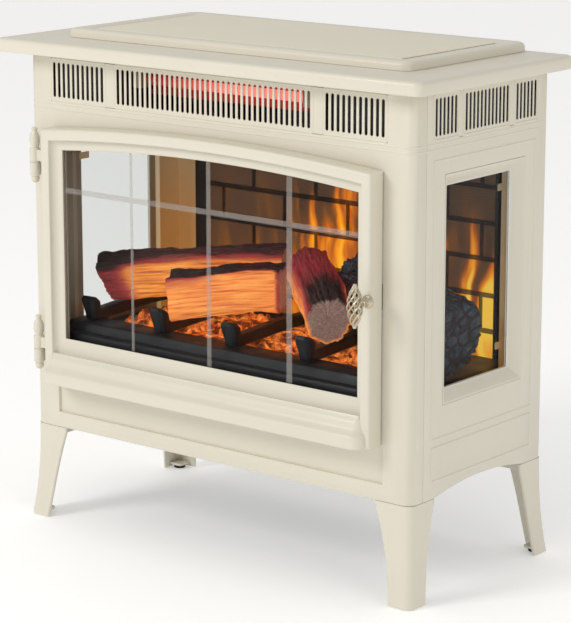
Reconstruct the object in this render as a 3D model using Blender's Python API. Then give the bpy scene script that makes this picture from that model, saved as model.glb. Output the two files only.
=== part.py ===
"""Stove-style electric fireplace: sheet-steel cabinet on four legs, glazed door and side windows,
log set, brick screen, infrared heater with crossflow blower, and flame-effect rotor.

Metres, +Z up. The front faces -Y. The origin is on the floor, under the middle of the whole object.
"""

import math

import bpy
import bmesh
from mathutils import Matrix, Vector

# ---------------------------------------------------------------- driving dimensions
GAP = 0.0003                      # clearance between pieces that touch
SHEET = 0.002                     # cabinet sheet steel

TOP_WIDTH = 0.610
TOP_FRONT = -0.1315
TOP_BACK = 0.1595
TOP_UNDER = 0.5618
TOP_UPPER = 0.5773
TOP_CORNER_R = 0.010
TOP_SKIN = 0.0016

RIM_HALF_WIDTH = 0.247            # raised panel on the top
RIM_FRONT = -0.0725
RIM_BACK = 0.157
RIM_TOP = 0.5875
RIM_WIDTH = 0.021
PANEL_SINK = 0.0015

BODY_HALF = 0.2778
BODY_FRONT = -0.1025
BODY_BACK = 0.1543
BODY_BOTTOM = 0.1142
BODY_TOP = TOP_UNDER - GAP
BODY_CORNER_R = 0.012
SIDE_SEAM_Y = -0.0800             # where the front wrap ends and a side panel starts
SIDE_ARCH_Y = 0.0275              # middle, half width and rise of the arch in a side's lower edge
SIDE_ARCH_HALF = 0.0855
SIDE_ARCH_RISE = 0.0091

BASE_Z = 0.1255                   # underside of the base pan
FLOOR_Z = 0.2190                  # underside of the firebox floor
CEILING_Z = 0.4860                # underside of the firebox ceiling
PLATE = 0.002

OPENING_HALF = 0.222              # hole in the cabinet behind the door
OPENING_BOTTOM = 0.2240
OPENING_TOP = 0.4710

LEG_FLARE_X = 0.0069
LEG_FLARE_Y = 0.0085
LEG_WALL = 0.004
LEG_TOP_WIDTH_X = 0.048
LEG_TOP_WIDTH_Y = 0.045
LEG_FOOT_WIDTH = 0.030
LEG_FLOOR_CLEARANCE = 0.001
PAD_R = 0.0075
PAD_HEIGHT = 0.0045
PAD_INSET = 0.0125                # middle of a pad, in from the outer faces of its leg

DOOR_LEFT = -0.240
DOOR_RIGHT = 0.2385
DOOR_BOTTOM = 0.1765
DOOR_CORNER_Z = 0.4755
DOOR_ARCH_RISE = 0.0115
DOOR_FRONT = -0.126
DOOR_BACK = -0.104
DOOR_OPENING_Y = -0.114
GLASS_HALF = 0.215                # visible glass opening in the door
GLASS_BOTTOM = 0.2285
GLASS_CORNER_Z = 0.4520
GLASS_ARCH_RISE = 0.0105
BEVEL_WIDTH = 0.0125
REBATE = 0.007
GLASS_THICK = 0.004
SILL_NOSE = -0.139
SILL_HALF = 0.2345

HINGE_X = -0.258
HINGE_Y = -0.116
HINGE_R = 0.0062
PIN_R = 0.0030
HINGE_JOINTS = {"upper": 0.4345, "lower": 0.2105}   # height where door knuckle meets body knuckle

HANDLE_X = 0.2376
HANDLE_Z = 0.3385
COIL_R = 0.0093
COIL_LENGTH = 0.048
COIL_Y = -0.1502

SLOT_WIDTH = 0.0040               # grille slots
FRONT_SLOT_PITCH = 0.00745
SIDE_SLOT_PITCH = 0.0070
SLOT_BOTTOM = 0.5110
SLOT_TOP = 0.5510
FRONT_SLOT_GROUPS = ((-0.1998, 11), (0.0, 38), (0.1998, 11))
SIDE_SLOT_GROUPS = ((-0.0458, 6), (0.0300, 12), (0.1053, 6))

INLET_X = -0.2000                 # cord inlet in the back
INLET_Z = 0.1600

WINDOW_FRONT = -0.031             # side window opening
WINDOW_BACK = 0.0905
WINDOW_BOTTOM = 0.2310
WINDOW_TOP = 0.4535
WINDOW_BEVEL = 0.015
WINDOW_RECESS = 0.0120

BUTTON_X = (0.084, 0.104, 0.124, 0.144)
BUTTON_NAMES = ("power", "heat", "flame", "timer")
BUTTON_HALF = (0.0065, 0.0040)
BUTTON_Z = 0.199
BUTTON_FRONT = -0.1066

BLOWER_Y = 0.0300
BLOWER_Z = 0.5240
BLOWER_R = 0.0205
TUBE_Y = -0.0740
TUBE_Z = 0.5380
TUBE_R = 0.0055
ROTOR_Y = 0.1150
ROTOR_Z = 0.1650

GRATE_ARMS_X = (-0.216, -0.108, 0.0, 0.108, 0.216)
GRATE_Z = 0.2480

# ---------------------------------------------------------------- materials
PALETTE = {
    "cream_paint": ((0.66, 0.62, 0.50, 1.0), 0.42, 0.0),
    "black_metal": ((0.02, 0.02, 0.022, 1.0), 0.55, 0.2),
    "black_plastic": ((0.025, 0.025, 0.027, 1.0), 0.45, 0.0),
    "rubber": ((0.02, 0.02, 0.02, 1.0), 0.80, 0.0),
    "nickel": ((0.55, 0.52, 0.46, 1.0), 0.28, 1.0),
    "zinc": ((0.60, 0.61, 0.62, 1.0), 0.40, 1.0),
    "aluminium": ((0.80, 0.81, 0.82, 1.0), 0.22, 1.0),
    "glass": ((0.92, 0.95, 0.94, 1.0), 0.05, 0.0),
    "quartz": ((1.0, 0.45, 0.30, 1.0), 0.20, 0.0),
    "ceramic": ((0.85, 0.82, 0.74, 1.0), 0.60, 0.0),
    "brick": ((0.22, 0.11, 0.07, 1.0), 0.85, 0.0),
    "wood": ((0.60, 0.22, 0.08, 1.0), 0.70, 0.0),
    "charred_wood": ((0.05, 0.055, 0.065, 1.0), 0.85, 0.0),
    "ember": ((0.85, 0.28, 0.05, 1.0), 0.60, 0.0),
    "circuit_board": ((0.03, 0.20, 0.08, 1.0), 0.50, 0.0),
}


def material(slot):
    """One Principled material per finish, made on first use."""
    found = bpy.data.materials.get(slot)
    if found:
        return found
    colour, roughness, metallic = PALETTE[slot]
    made = bpy.data.materials.new(slot)
    made.use_nodes = True
    shader = made.node_tree.nodes["Principled BSDF"]
    shader.inputs["Base Color"].default_value = colour
    shader.inputs["Roughness"].default_value = roughness
    shader.inputs["Metallic"].default_value = metallic
    made.diffuse_color = colour
    return made


# ---------------------------------------------------------------- shape helpers
def add_object(name, bm, slot, smooth_angle=None):
    """Close the bmesh off as one named object with its finish."""
    bmesh.ops.remove_doubles(bm, verts=bm.verts, dist=0.000001)
    bmesh.ops.recalc_face_normals(bm, faces=bm.faces)
    mesh = bpy.data.meshes.new(name)
    bm.to_mesh(mesh)
    bm.free()
    if smooth_angle is not None:
        mesh.shade_smooth()
        mesh.set_sharp_from_angle(angle=math.radians(smooth_angle))
    obj = bpy.data.objects.new(name, mesh)
    bpy.context.scene.collection.objects.link(obj)
    mesh.materials.append(material(slot))
    return obj


def place(axis, a, b, along):
    """A point of an outline (a, b) at a distance along an axis."""
    if axis == "x":
        return Vector((along, a, b))
    if axis == "y":
        return Vector((a, along, b))
    return Vector((a, b, along))


def add_prism(bm, axis, outline, low, high):
    """An outline run from low to high along an axis, with both ends filled."""
    near = [bm.verts.new(place(axis, a, b, low)) for a, b in outline]
    far = [bm.verts.new(place(axis, a, b, high)) for a, b in outline]
    count = len(outline)
    for i in range(count):
        j = (i + 1) % count
        bm.faces.new((near[i], near[j], far[j], far[i]))
    bm.faces.new(near)
    bm.faces.new(list(reversed(far)))


def prism(name, slot, axis, outline, low, high, smooth_angle=None):
    bm = bmesh.new()
    add_prism(bm, axis, outline, low, high)
    return add_object(name, bm, slot, smooth_angle)


def rectangle(a0, a1, b0, b1):
    return [(a0, b0), (a1, b0), (a1, b1), (a0, b1)]


def box(name, slot, low, high):
    return prism(name, slot, "z", rectangle(low[0], high[0], low[1], high[1]), low[2], high[2])


def arc(centre, radius, start, end, steps):
    """Points on an arc, angles in degrees, both ends included."""
    points = []
    for i in range(steps + 1):
        angle = math.radians(start + (end - start) * i / steps)
        points.append((centre[0] + radius * math.cos(angle), centre[1] + radius * math.sin(angle)))
    return points


def rounded_rectangle(a0, a1, b0, b1, radius, steps=3):
    corners = (((a1 - radius, b0 + radius), -90), ((a1 - radius, b1 - radius), 0),
               ((a0 + radius, b1 - radius), 90), ((a0 + radius, b0 + radius), 180))
    points = []
    for centre, start in corners:
        points += arc(centre, radius, start, start + 90, steps)
    return points


def circle(centre, radius, steps):
    return arc(centre, radius, 0, 360, steps)[:-1]


def arched_outline(left, right, bottom, corner_z, rise, steps=12):
    """Upright panel outline in x and z whose top is a shallow circular arch."""
    half = (right - left) / 2
    radius = (half * half + rise * rise) / (2 * rise)
    swing = math.degrees(math.asin(half / radius))
    centre = ((left + right) / 2, corner_z + rise - radius)
    return [(left, bottom), (right, bottom)] + arc(centre, radius, 90 - swing, 90 + swing, steps)


def lofted(name, slot, loops, capped=True, smooth_angle=None):
    """Bridge equal loops of points; capped at both ends, or closed round into a ring."""
    bm = bmesh.new()
    rings = [[bm.verts.new(point) for point in loop] for loop in loops]
    pairs = list(zip(rings[:-1], rings[1:]))
    if not capped:
        pairs.append((rings[-1], rings[0]))
    count = len(rings[0])
    for first, second in pairs:
        for i in range(count):
            j = (i + 1) % count
            bm.faces.new((first[i], first[j], second[j], second[i]))
    if capped:
        bm.faces.new(rings[0])
        bm.faces.new(list(reversed(rings[-1])))
    return add_object(name, bm, slot, smooth_angle)


def turned(name, slot, profile, centre, axis="z", steps=16, smooth_angle=35):
    """A closed profile of (radius, along) points, from the axis round to the axis, turned once."""
    bm = bmesh.new()
    rings = []
    for radius, along in profile:
        if radius < 0.00001:
            rings.append([bm.verts.new((0, 0, along))])
            continue
        rings.append([bm.verts.new((a, b, along)) for a, b in circle((0, 0), radius, steps)])
    for first, second in zip(rings[:-1], rings[1:]):
        for i in range(steps):
            j = (i + 1) % steps
            corners = [first[i % len(first)], first[j % len(first)],
                       second[j % len(second)], second[i % len(second)]]
            bm.faces.new(list(dict.fromkeys(corners)))
    turn = {"z": Matrix(), "x": Matrix.Rotation(math.radians(90), 4, "Y"),
            "y": Matrix.Rotation(math.radians(-90), 4, "X")}[axis]
    bm.transform(turn)
    obj = add_object(name, bm, slot, smooth_angle)
    obj.location = centre
    return obj


def boolean(obj, other, operation):
    """Cut or join another shape, which stays in the file as a hidden guide."""
    step = obj.modifiers.new(operation.lower(), "BOOLEAN")
    step.operation = operation
    step.solver = "EXACT"
    step.object = other
    other.hide_render = True
    other.display_type = "WIRE"
    return obj


def cut(obj, other):
    return boolean(obj, other, "DIFFERENCE")


def join(obj, other):
    return boolean(obj, other, "UNION")


def cutter_of(name, axis, outlines, low, high):
    """One hidden cutter made of several outlines that don't touch each other."""
    bm = bmesh.new()
    for outline in outlines:
        add_prism(bm, axis, outline, low, high)
    return add_object(name, bm, "black_metal")


def slot_outlines(groups, pitch):
    """Rectangular slots in groups, each group given by its middle and its number of slots."""
    outlines = []
    for middle, count in groups:
        for i in range(count):
            centre = middle + (i - (count - 1) / 2) * pitch
            outlines.append(rectangle(centre - SLOT_WIDTH / 2, centre + SLOT_WIDTH / 2,
                                      SLOT_BOTTOM, SLOT_TOP))
    return outlines


def mirrored(outline, side):
    return [(side * a, b) for a, b in outline]


# ---------------------------------------------------------------- top
def build_mantel_top():
    """Thick slab with a rounded edge, and a recess below it that opens over the cabinet."""
    half = TOP_WIDTH / 2
    outer = rounded_rectangle(-half, half, TOP_FRONT, TOP_BACK, TOP_CORNER_R)
    inset = 0.004
    upper = rounded_rectangle(-half + inset, half - inset, TOP_FRONT + inset, TOP_BACK - inset,
                              TOP_CORNER_R - inset / 2)
    loops = [[Vector((x, y, TOP_UNDER)) for x, y in outer],
             [Vector((x, y, TOP_UPPER - inset)) for x, y in outer],
             [Vector((x, y, TOP_UPPER)) for x, y in upper]]
    top = lofted("mantel_top", "cream_paint", loops, smooth_angle=50)
    mouth = 0.016
    cut(top, box("guide_top_recess", "cream_paint",
                 (-BODY_HALF + mouth, BODY_FRONT + mouth, TOP_UNDER - 0.01),
                 (BODY_HALF - mouth, BODY_BACK - mouth, TOP_UPPER - TOP_SKIN)))


def build_top_panel():
    """Raised rim round a slightly sunk panel, on top of the mantel."""
    def outline(inset, radius):
        return rounded_rectangle(-RIM_HALF_WIDTH + inset, RIM_HALF_WIDTH - inset,
                                 RIM_FRONT + inset, RIM_BACK - inset, radius)
    levels = ((0.0, 0.012, TOP_UPPER + GAP), (0.0015, 0.011, RIM_TOP - 0.003),
              (0.0050, 0.009, RIM_TOP), (RIM_WIDTH - 0.002, 0.004, RIM_TOP),
              (RIM_WIDTH, 0.003, RIM_TOP - PANEL_SINK))
    loops = [[Vector((x, y, z)) for x, y in outline(inset, radius)] for inset, radius, z in levels]
    lofted("top_grille_panel", "cream_paint", loops, smooth_angle=40)


# ---------------------------------------------------------------- cabinet
def build_cabinet_front():
    """Front sheet with both rounded corners, pressed in below the door."""
    r = BODY_CORNER_R
    left = arc((-BODY_HALF + r, BODY_FRONT + r), r, 180, 270, 4)
    right = arc((BODY_HALF - r, BODY_FRONT + r), r, 270, 360, 4)
    outer = [(-BODY_HALF, SIDE_SEAM_Y)] + left + right + [(BODY_HALF, SIDE_SEAM_Y)]
    q = r - SHEET
    right_in = arc((BODY_HALF - r, BODY_FRONT + r), q, 360, 270, 4)
    left_in = arc((-BODY_HALF + r, BODY_FRONT + r), q, 270, 180, 4)
    inner = [(BODY_HALF - SHEET, SIDE_SEAM_Y)] + right_in + left_in + [(-BODY_HALF + SHEET, SIDE_SEAM_Y)]
    front = prism("cabinet_front", "cream_paint", "z", outer + inner, BODY_BOTTOM, BODY_TOP, 40)
    depth = 0.0035
    join(front, box("guide_press_back", "cream_paint", (-0.243, BODY_FRONT + 0.001, 0.1290),
                    (0.243, BODY_FRONT + depth + SHEET, 0.1800)))
    cut(front, box("guide_press_face", "cream_paint", (-0.240, BODY_FRONT - 0.01, 0.1330),
                   (0.240, BODY_FRONT + depth, 0.1760)))
    cut(front, box("guide_opening", "cream_paint", (-OPENING_HALF, BODY_FRONT - 0.01, OPENING_BOTTOM),
                   (OPENING_HALF, BODY_FRONT + 0.01, OPENING_TOP)))
    cut(front, box("guide_grille_hole", "cream_paint", (-0.2430, BODY_FRONT - 0.01, 0.5055),
                   (0.2430, BODY_FRONT + 0.01, 0.5565)))
    cut(front, box("guide_catch_hole", "cream_paint", (0.2260, BODY_FRONT - 0.01, 0.3260),
                   (0.2380, BODY_FRONT + 0.01, 0.3540)))
    cut(front, box("guide_control_hole", "cream_paint", (0.0600, BODY_FRONT - 0.01, 0.1880),
                   (0.1800, BODY_FRONT + 0.004, 0.2100)))


def build_front_grille():
    grille = box("front_grille", "cream_paint", (-0.2425, BODY_FRONT, 0.5060),
                 (0.2425, BODY_FRONT + SHEET, 0.5560))
    cut(grille, cutter_of("guide_front_slots", "y", slot_outlines(FRONT_SLOT_GROUPS, FRONT_SLOT_PITCH),
                          BODY_FRONT - 0.005, BODY_FRONT + 0.007))


def side_outline():
    """Plan section of a right side panel: a wall with a rounded return at the back."""
    r = BODY_CORNER_R
    centre = (BODY_HALF - r, BODY_BACK - r)
    outer = [(BODY_HALF, SIDE_SEAM_Y + GAP)] + arc(centre, r, 0, 90, 4) + [(BODY_HALF - 0.026, BODY_BACK)]
    inner = [(BODY_HALF - 0.026, BODY_BACK - SHEET)] + arc(centre, r - SHEET, 90, 0, 4)
    return outer + inner + [(BODY_HALF - SHEET, SIDE_SEAM_Y + GAP)]


def build_side(side, label):
    """Side panel with its arched lower edge, window frame, pane and grille."""
    panel = prism("side_panel_" + label, "cream_paint", "z", mirrored(side_outline(), side),
                  BODY_BOTTOM, BODY_TOP, 40)
    near = side * (BODY_HALF - 0.02)
    far = side * (BODY_HALF + 0.02)
    low, high = min(near, far), max(near, far)
    arch = arched_outline(SIDE_ARCH_Y - SIDE_ARCH_HALF, SIDE_ARCH_Y + SIDE_ARCH_HALF, BODY_BOTTOM - 0.010,
                          BODY_BOTTOM, SIDE_ARCH_RISE)
    cut(panel, cutter_of("guide_arch_" + label, "x", [arch], low, high))
    frame_out = rectangle(WINDOW_FRONT - WINDOW_BEVEL, WINDOW_BACK + WINDOW_BEVEL,
                          WINDOW_BOTTOM - WINDOW_BEVEL, WINDOW_TOP + WINDOW_BEVEL)
    cut(panel, cutter_of("guide_window_" + label, "x", [frame_out], low, high))
    grille_hole = rectangle(-0.0690, 0.1290, 0.5055, 0.5565)
    cut(panel, cutter_of("guide_side_grille_" + label, "x", [grille_hole], low, high))

    outer_x = side * BODY_HALF
    inner_x = side * (BODY_HALF - SHEET)
    grille = prism("side_grille_" + label, "cream_paint", "x", rectangle(-0.0685, 0.1285, 0.5060, 0.5560),
                   min(outer_x, inner_x), max(outer_x, inner_x))
    cut(grille, cutter_of("guide_side_slots_" + label, "x", slot_outlines(SIDE_SLOT_GROUPS, SIDE_SLOT_PITCH),
                          low, high))

    def ring(grow, depth):
        outline = rectangle(WINDOW_FRONT - grow, WINDOW_BACK + grow, WINDOW_BOTTOM - grow, WINDOW_TOP + grow)
        return [Vector((side * (BODY_HALF - depth), y, z)) for y, z in outline]

    rim = WINDOW_BEVEL - GAP
    loops = [ring(rim, 0.0), ring(rim - 0.003, 0.0), ring(0.0, WINDOW_RECESS - 0.0015),
             ring(0.0, WINDOW_RECESS + 0.0010), ring(rim, WINDOW_RECESS + 0.0010)]
    lofted("side_window_frame_" + label, "cream_paint", loops, capped=False)
    pane_x = side * (BODY_HALF - WINDOW_RECESS - 0.0013)
    back_x = pane_x - side * 0.003
    prism("side_glass_" + label, "glass", "x",
          rectangle(WINDOW_FRONT - 0.009, WINDOW_BACK + 0.009, WINDOW_BOTTOM - 0.009, WINDOW_TOP + 0.009),
          min(pane_x, back_x), max(pane_x, back_x))


def shelf(name, half_width, low_z):
    """Horizontal plate across the inside of the cabinet, rounded to clear its corners."""
    outline = rounded_rectangle(-half_width, half_width, BODY_FRONT + 0.0065, BODY_BACK - 0.0055, 0.0120)
    return prism(name, "black_metal", "z", outline, low_z, low_z + PLATE)


def build_back_and_base():
    """Rear sheet with its air intake and cord hole, and the pan that carries everything."""
    back = box("back_panel", "black_metal", (-0.2635, BODY_BACK - 0.0045, BASE_Z + PLATE + GAP),
               (0.2635, BODY_BACK - 0.0025, BODY_TOP - 0.0010))
    intake = []
    for i in range(20):
        x = (i - 9.5) * 0.010
        intake.append(rectangle(x - 0.0025, x + 0.0025, 0.5060, 0.5420))
    cut(back, cutter_of("guide_intake", "y", intake, BODY_BACK - 0.01, BODY_BACK + 0.01))
    cut(back, cutter_of("guide_cord_hole", "y", [circle((INLET_X, INLET_Z), 0.0083, 12)],
                        BODY_BACK - 0.01, BODY_BACK + 0.01))
    shelf("base_pan", 0.2752, BASE_Z)
    turned("cord_inlet", "black_plastic",
           [(0.0036, -0.010), (0.0036, 0.0068), (0.0065, 0.0068), (0.0105, 0.0030), (0.0105, 0.0002),
            (0.0080, 0.0002), (0.0080, -0.0026), (0.0102, -0.0042), (0.0075, -0.010), (0.0036, -0.010)],
           (INLET_X, BODY_BACK - 0.0022, INLET_Z), "y", 12)


# ---------------------------------------------------------------- legs
def leg_section(side_x, side_y, z):
    """L-shaped section of a leg at one height, open towards the middle of the cabinet."""
    share = 1.0 - (z - LEG_FLOOR_CLEARANCE) / (BODY_BOTTOM - LEG_FLOOR_CLEARANCE)
    flare = share ** 2.2
    x = BODY_HALF + LEG_FLARE_X * flare
    y_edge = (BODY_BACK if side_y > 0 else -BODY_FRONT) + LEG_FLARE_Y * flare
    taper = min(1.0, (1.0 - share) ** 2.4 + 0.10 * (1.0 - share))
    wide_x = LEG_FOOT_WIDTH + (LEG_TOP_WIDTH_X - LEG_FOOT_WIDTH) * taper
    wide_y = LEG_FOOT_WIDTH + (LEG_TOP_WIDTH_Y - LEG_FOOT_WIDTH) * taper
    r = BODY_CORNER_R - 0.002
    outer = arc((x - r, y_edge - r), r, 0, 90, 3)
    inner = arc((x - r, y_edge - r), r - LEG_WALL, 90, 0, 3)
    points = [(x, y_edge - wide_y)] + outer + [(x - wide_x, y_edge), (x - wide_x, y_edge - LEG_WALL)]
    points += inner + [(x - LEG_WALL, y_edge - wide_y)]
    return [Vector((side_x * a, side_y * b, z)) for a, b in points]


def build_leg(side_x, side_y, label):
    """Flared hollow leg with a bolt block up inside the cabinet and a foot plate over its pad."""
    levels = 8
    top = BODY_BOTTOM - GAP
    heights = [LEG_FLOOR_CLEARANCE + (top - LEG_FLOOR_CLEARANCE) * i / levels for i in range(levels + 1)]
    leg = lofted("leg_" + label, "cream_paint", [leg_section(side_x, side_y, z) for z in heights],
                 smooth_angle=40)
    edge_y = BODY_BACK if side_y > 0 else -BODY_FRONT
    block_out_x = BODY_HALF - SHEET - 0.0006
    block_out_y = edge_y - SHEET - (0.0030 if side_y > 0 else 0.0042)
    low = (block_out_x - 0.034, block_out_y - 0.030)
    high = (block_out_x, block_out_y)
    chamfer = 0.006
    block = [low, (high[0], low[1]), (high[0], high[1] - chamfer), (high[0] - chamfer, high[1]),
             (low[0], high[1])]
    join(leg, prism("guide_leg_block_" + label, "cream_paint", "z",
                    [(side_x * a, side_y * b) for a, b in block], 0.1020, BASE_Z - GAP))
    pad_x = BODY_HALF + LEG_FLARE_X - PAD_INSET
    pad_y = edge_y + LEG_FLARE_Y - PAD_INSET
    inward, outward = 0.0100, 0.0100
    plate = rectangle(pad_x - inward, pad_x + outward, pad_y - inward, pad_y + outward)
    join(leg, prism("guide_foot_plate_" + label, "cream_paint", "z",
                    [(side_x * a, side_y * b) for a, b in plate], PAD_HEIGHT + GAP, PAD_HEIGHT + 0.0030))
    turned("foot_pad_" + label, "rubber",
           [(0, 0), (PAD_R - 0.0010, 0), (PAD_R, 0.0010), (PAD_R, PAD_HEIGHT), (0, PAD_HEIGHT)],
           (side_x * pad_x, side_y * pad_y, 0), "z", 14)


# ---------------------------------------------------------------- door
def build_door():
    """Arched ring frame with a bevelled opening, glass rebate and stepped sill."""
    def ring(grow_out, y, opening):
        if opening:
            outline = arched_outline(-GLASS_HALF - grow_out, GLASS_HALF + grow_out, GLASS_BOTTOM - grow_out,
                                     GLASS_CORNER_Z + grow_out * 0.85, GLASS_ARCH_RISE)
        else:
            outline = arched_outline(DOOR_LEFT + grow_out, DOOR_RIGHT - grow_out, DOOR_BOTTOM + grow_out,
                                     DOOR_CORNER_Z - grow_out, DOOR_ARCH_RISE)
        return [Vector((x, y, z)) for x, z in outline]
    loops = [ring(0.0, DOOR_BACK, False), ring(0.0, DOOR_FRONT + 0.0025, False),
             ring(0.0025, DOOR_FRONT, False), ring(BEVEL_WIDTH, DOOR_FRONT, True),
             ring(0.0, DOOR_OPENING_Y, True), ring(0.0, DOOR_OPENING_Y + 0.002, True),
             ring(REBATE, DOOR_OPENING_Y + 0.002, True), ring(REBATE, DOOR_BACK, True)]
    door = lofted("door_frame", "cream_paint", loops, capped=False, smooth_angle=30)
    sill = [(DOOR_FRONT + 0.006, 0.1775), (SILL_NOSE + 0.001, 0.1775), (SILL_NOSE, 0.1785),
            (SILL_NOSE, 0.1900), (SILL_NOSE + 0.0015, 0.1915), (-0.1315, 0.1985), (-0.1300, 0.2050),
            (-0.1285, 0.2060), (-0.1240, 0.2110), (DOOR_FRONT + 0.006, 0.2130)]
    join(door, prism("guide_sill", "cream_paint", "x", sill, -SILL_HALF, SILL_HALF - 0.0015))
    cut(door, box("guide_button_pocket", "cream_paint", (0.050, -0.1150, 0.1855), (0.190, -0.1000, 0.2125)))
    pane = arched_outline(-GLASS_HALF - REBATE + 0.0006, GLASS_HALF + REBATE - 0.0006,
                          GLASS_BOTTOM - REBATE + 0.0006, GLASS_CORNER_Z + REBATE * 0.85 - 0.0006,
                          GLASS_ARCH_RISE)
    prism("door_glass", "glass", "y", pane, DOOR_OPENING_Y + 0.0023, DOOR_OPENING_Y + 0.0023 + GLASS_THICK)


def build_hinge(label, joint_z):
    """Lift-off hinge: the door knuckle drops over a pin standing in the body knuckle."""
    bore_r = PIN_R + GAP
    turned_door = turned(
        "hinge_%s_door_knuckle" % label, "cream_paint",
        [(0, 0.0150), (bore_r, 0.0150), (bore_r, GAP), (HINGE_R, GAP), (HINGE_R, 0.0160), (0.0050, 0.0166),
         (0.0056, 0.0200), (0.0064, 0.0255), (0.0056, 0.0310), (0.0036, 0.0350), (0.0030, 0.0365),
         (0.0040, 0.0385), (0.0022, 0.0405), (0, 0.0410)],
        (HINGE_X, HINGE_Y, joint_z), "z", 14)
    leaf = box("guide_%s_door_leaf" % label, "cream_paint", (0.0045, -0.0030, 0.0020),
               (DOOR_LEFT - GAP - HINGE_X, 0.0030, 0.0150))
    leaf.location = (HINGE_X, HINGE_Y, joint_z)
    join(turned_door, leaf)
    turned_body = turned(
        "hinge_%s_body_knuckle" % label, "cream_paint",
        [(0, -0.0250), (0.0022, -0.0246), (0.0046, -0.0225), (0.0050, -0.0185), (0.0044, -0.0168),
         (HINGE_R, -0.0160), (HINGE_R, 0), (PIN_R, 0), (PIN_R, 0.0135), (0.0022, 0.0142), (0, 0.0142)],
        (HINGE_X, HINGE_Y, joint_z), "z", 14)
    foot = box("guide_%s_body_leaf" % label, "cream_paint", (-0.0030, 0.0045, -0.0150),
               (0.0050, BODY_FRONT - GAP - HINGE_Y, -0.0020))
    foot.location = (HINGE_X, HINGE_Y, joint_z)
    join(turned_body, foot)


def build_handle():
    """Round boss on the door stile and the spring grip in front of it."""
    turned("handle_boss", "nickel",
           [(0, 0), (0.0070, 0), (0.0070, 0.0025), (0.0048, 0.0045), (0.0042, 0.0120), (0.0050, 0.0140),
            (0, 0.0140)],
           (HANDLE_X, DOOR_FRONT - GAP, HANDLE_Z + 0.001), "y", 14).rotation_euler = (0, 0, math.pi)
    profile = []
    steps = 10
    for i in range(steps + 1):
        along = (i / steps - 0.5) * COIL_LENGTH
        bulge = math.cos(math.pi * (i / steps - 0.5)) ** 0.75 if 0 < i < steps else 0.0
        profile.append((COIL_R * bulge, along))
    turned("handle_coil", "nickel", profile, (HANDLE_X, COIL_Y, HANDLE_Z), "z", 12)


def build_catch():
    """Magnet in a flanged holder that pokes through the cabinet's right jamb."""
    catch = box("magnet_catch", "black_plastic", (0.2265, DOOR_BACK + 0.0006, 0.3265),
                (0.2375, BODY_FRONT + 0.0135, 0.3535))
    join(catch, box("guide_catch_flange", "black_plastic", (0.2235, BODY_FRONT + SHEET + GAP, 0.3190),
                    (0.2410, BODY_FRONT + SHEET + 0.0023, 0.3610)))


# ---------------------------------------------------------------- firebox
def build_firebox():
    floor = box("firebox_floor", "black_metal", (-0.2640, BODY_FRONT + SHEET + 0.0030, FLOOR_Z),
                (0.2640, BODY_BACK - 0.0060, FLOOR_Z + PLATE))
    cut(floor, box("guide_light_slot", "black_metal", (-0.1900, 0.1080, FLOOR_Z - 0.01),
                   (0.1900, 0.1220, FLOOR_Z + 0.01)))
    shelf("firebox_ceiling", 0.2740, CEILING_Z)
    low_z = FLOOR_Z + PLATE + GAP
    high_z = CEILING_Z - GAP
    box("brick_panel", "brick", (-0.2150, 0.1425, low_z), (0.2150, 0.1465, high_z))
    liner = box("firebox_liner", "black_metal", (-0.2600, 0.1470, 0.4700), (0.2600, 0.1488, high_z))
    for side, label in ((-1, "left"), (1, "right")):
        post = [(side * 0.2155, 0.1490), (side * 0.2155, 0.1400), (side * 0.2185, 0.1400),
                (side * 0.2185, 0.1465), (side * 0.2610, 0.1465), (side * 0.2610, 0.1000),
                (side * 0.2630, 0.1000), (side * 0.2630, 0.1490)]
        join(liner, prism("guide_firebox_post_" + label, "black_metal", "z", post, low_z, high_z))


def build_ember_bed():
    """Lumpy moulded bed, thin at its edges, with a flat underside."""
    columns, rows = 20, 8
    x0, x1, y0, y1 = -0.205, 0.205, -0.060, 0.102
    bottom = FLOOR_Z + PLATE + GAP
    bm = bmesh.new()
    top = []
    for j in range(rows + 1):
        line = []
        for i in range(columns + 1):
            u, v = i / columns, j / rows
            edge = min(u, 1 - u, 0.35 * v, 0.35 * (1 - v)) * 14
            lump = 0.5 + 0.5 * math.sin(9.0 * u * 3.1 + 2.0 * v) * math.cos(7.0 * v + 11.0 * u)
            height = 0.003 + min(1.0, edge) * (0.006 + 0.008 * lump)
            line.append(bm.verts.new((x0 + (x1 - x0) * u, y0 + (y1 - y0) * v, bottom + height)))
        top.append(line)
    for j in range(rows):
        for i in range(columns):
            bm.faces.new((top[j][i], top[j][i + 1], top[j + 1][i + 1], top[j + 1][i]))
    rim = top[0] + [line[-1] for line in top[1:]] + list(reversed(top[-1][:-1]))
    rim += [line[0] for line in reversed(top[1:-1])]
    under = [bm.verts.new((vert.co.x, vert.co.y, bottom)) for vert in rim]
    for i in range(len(rim)):
        j = (i + 1) % len(rim)
        bm.faces.new((rim[i], rim[j], under[j], under[i]))
    bm.faces.new(list(reversed(under)))
    add_object("ember_bed", bm, "ember")


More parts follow.
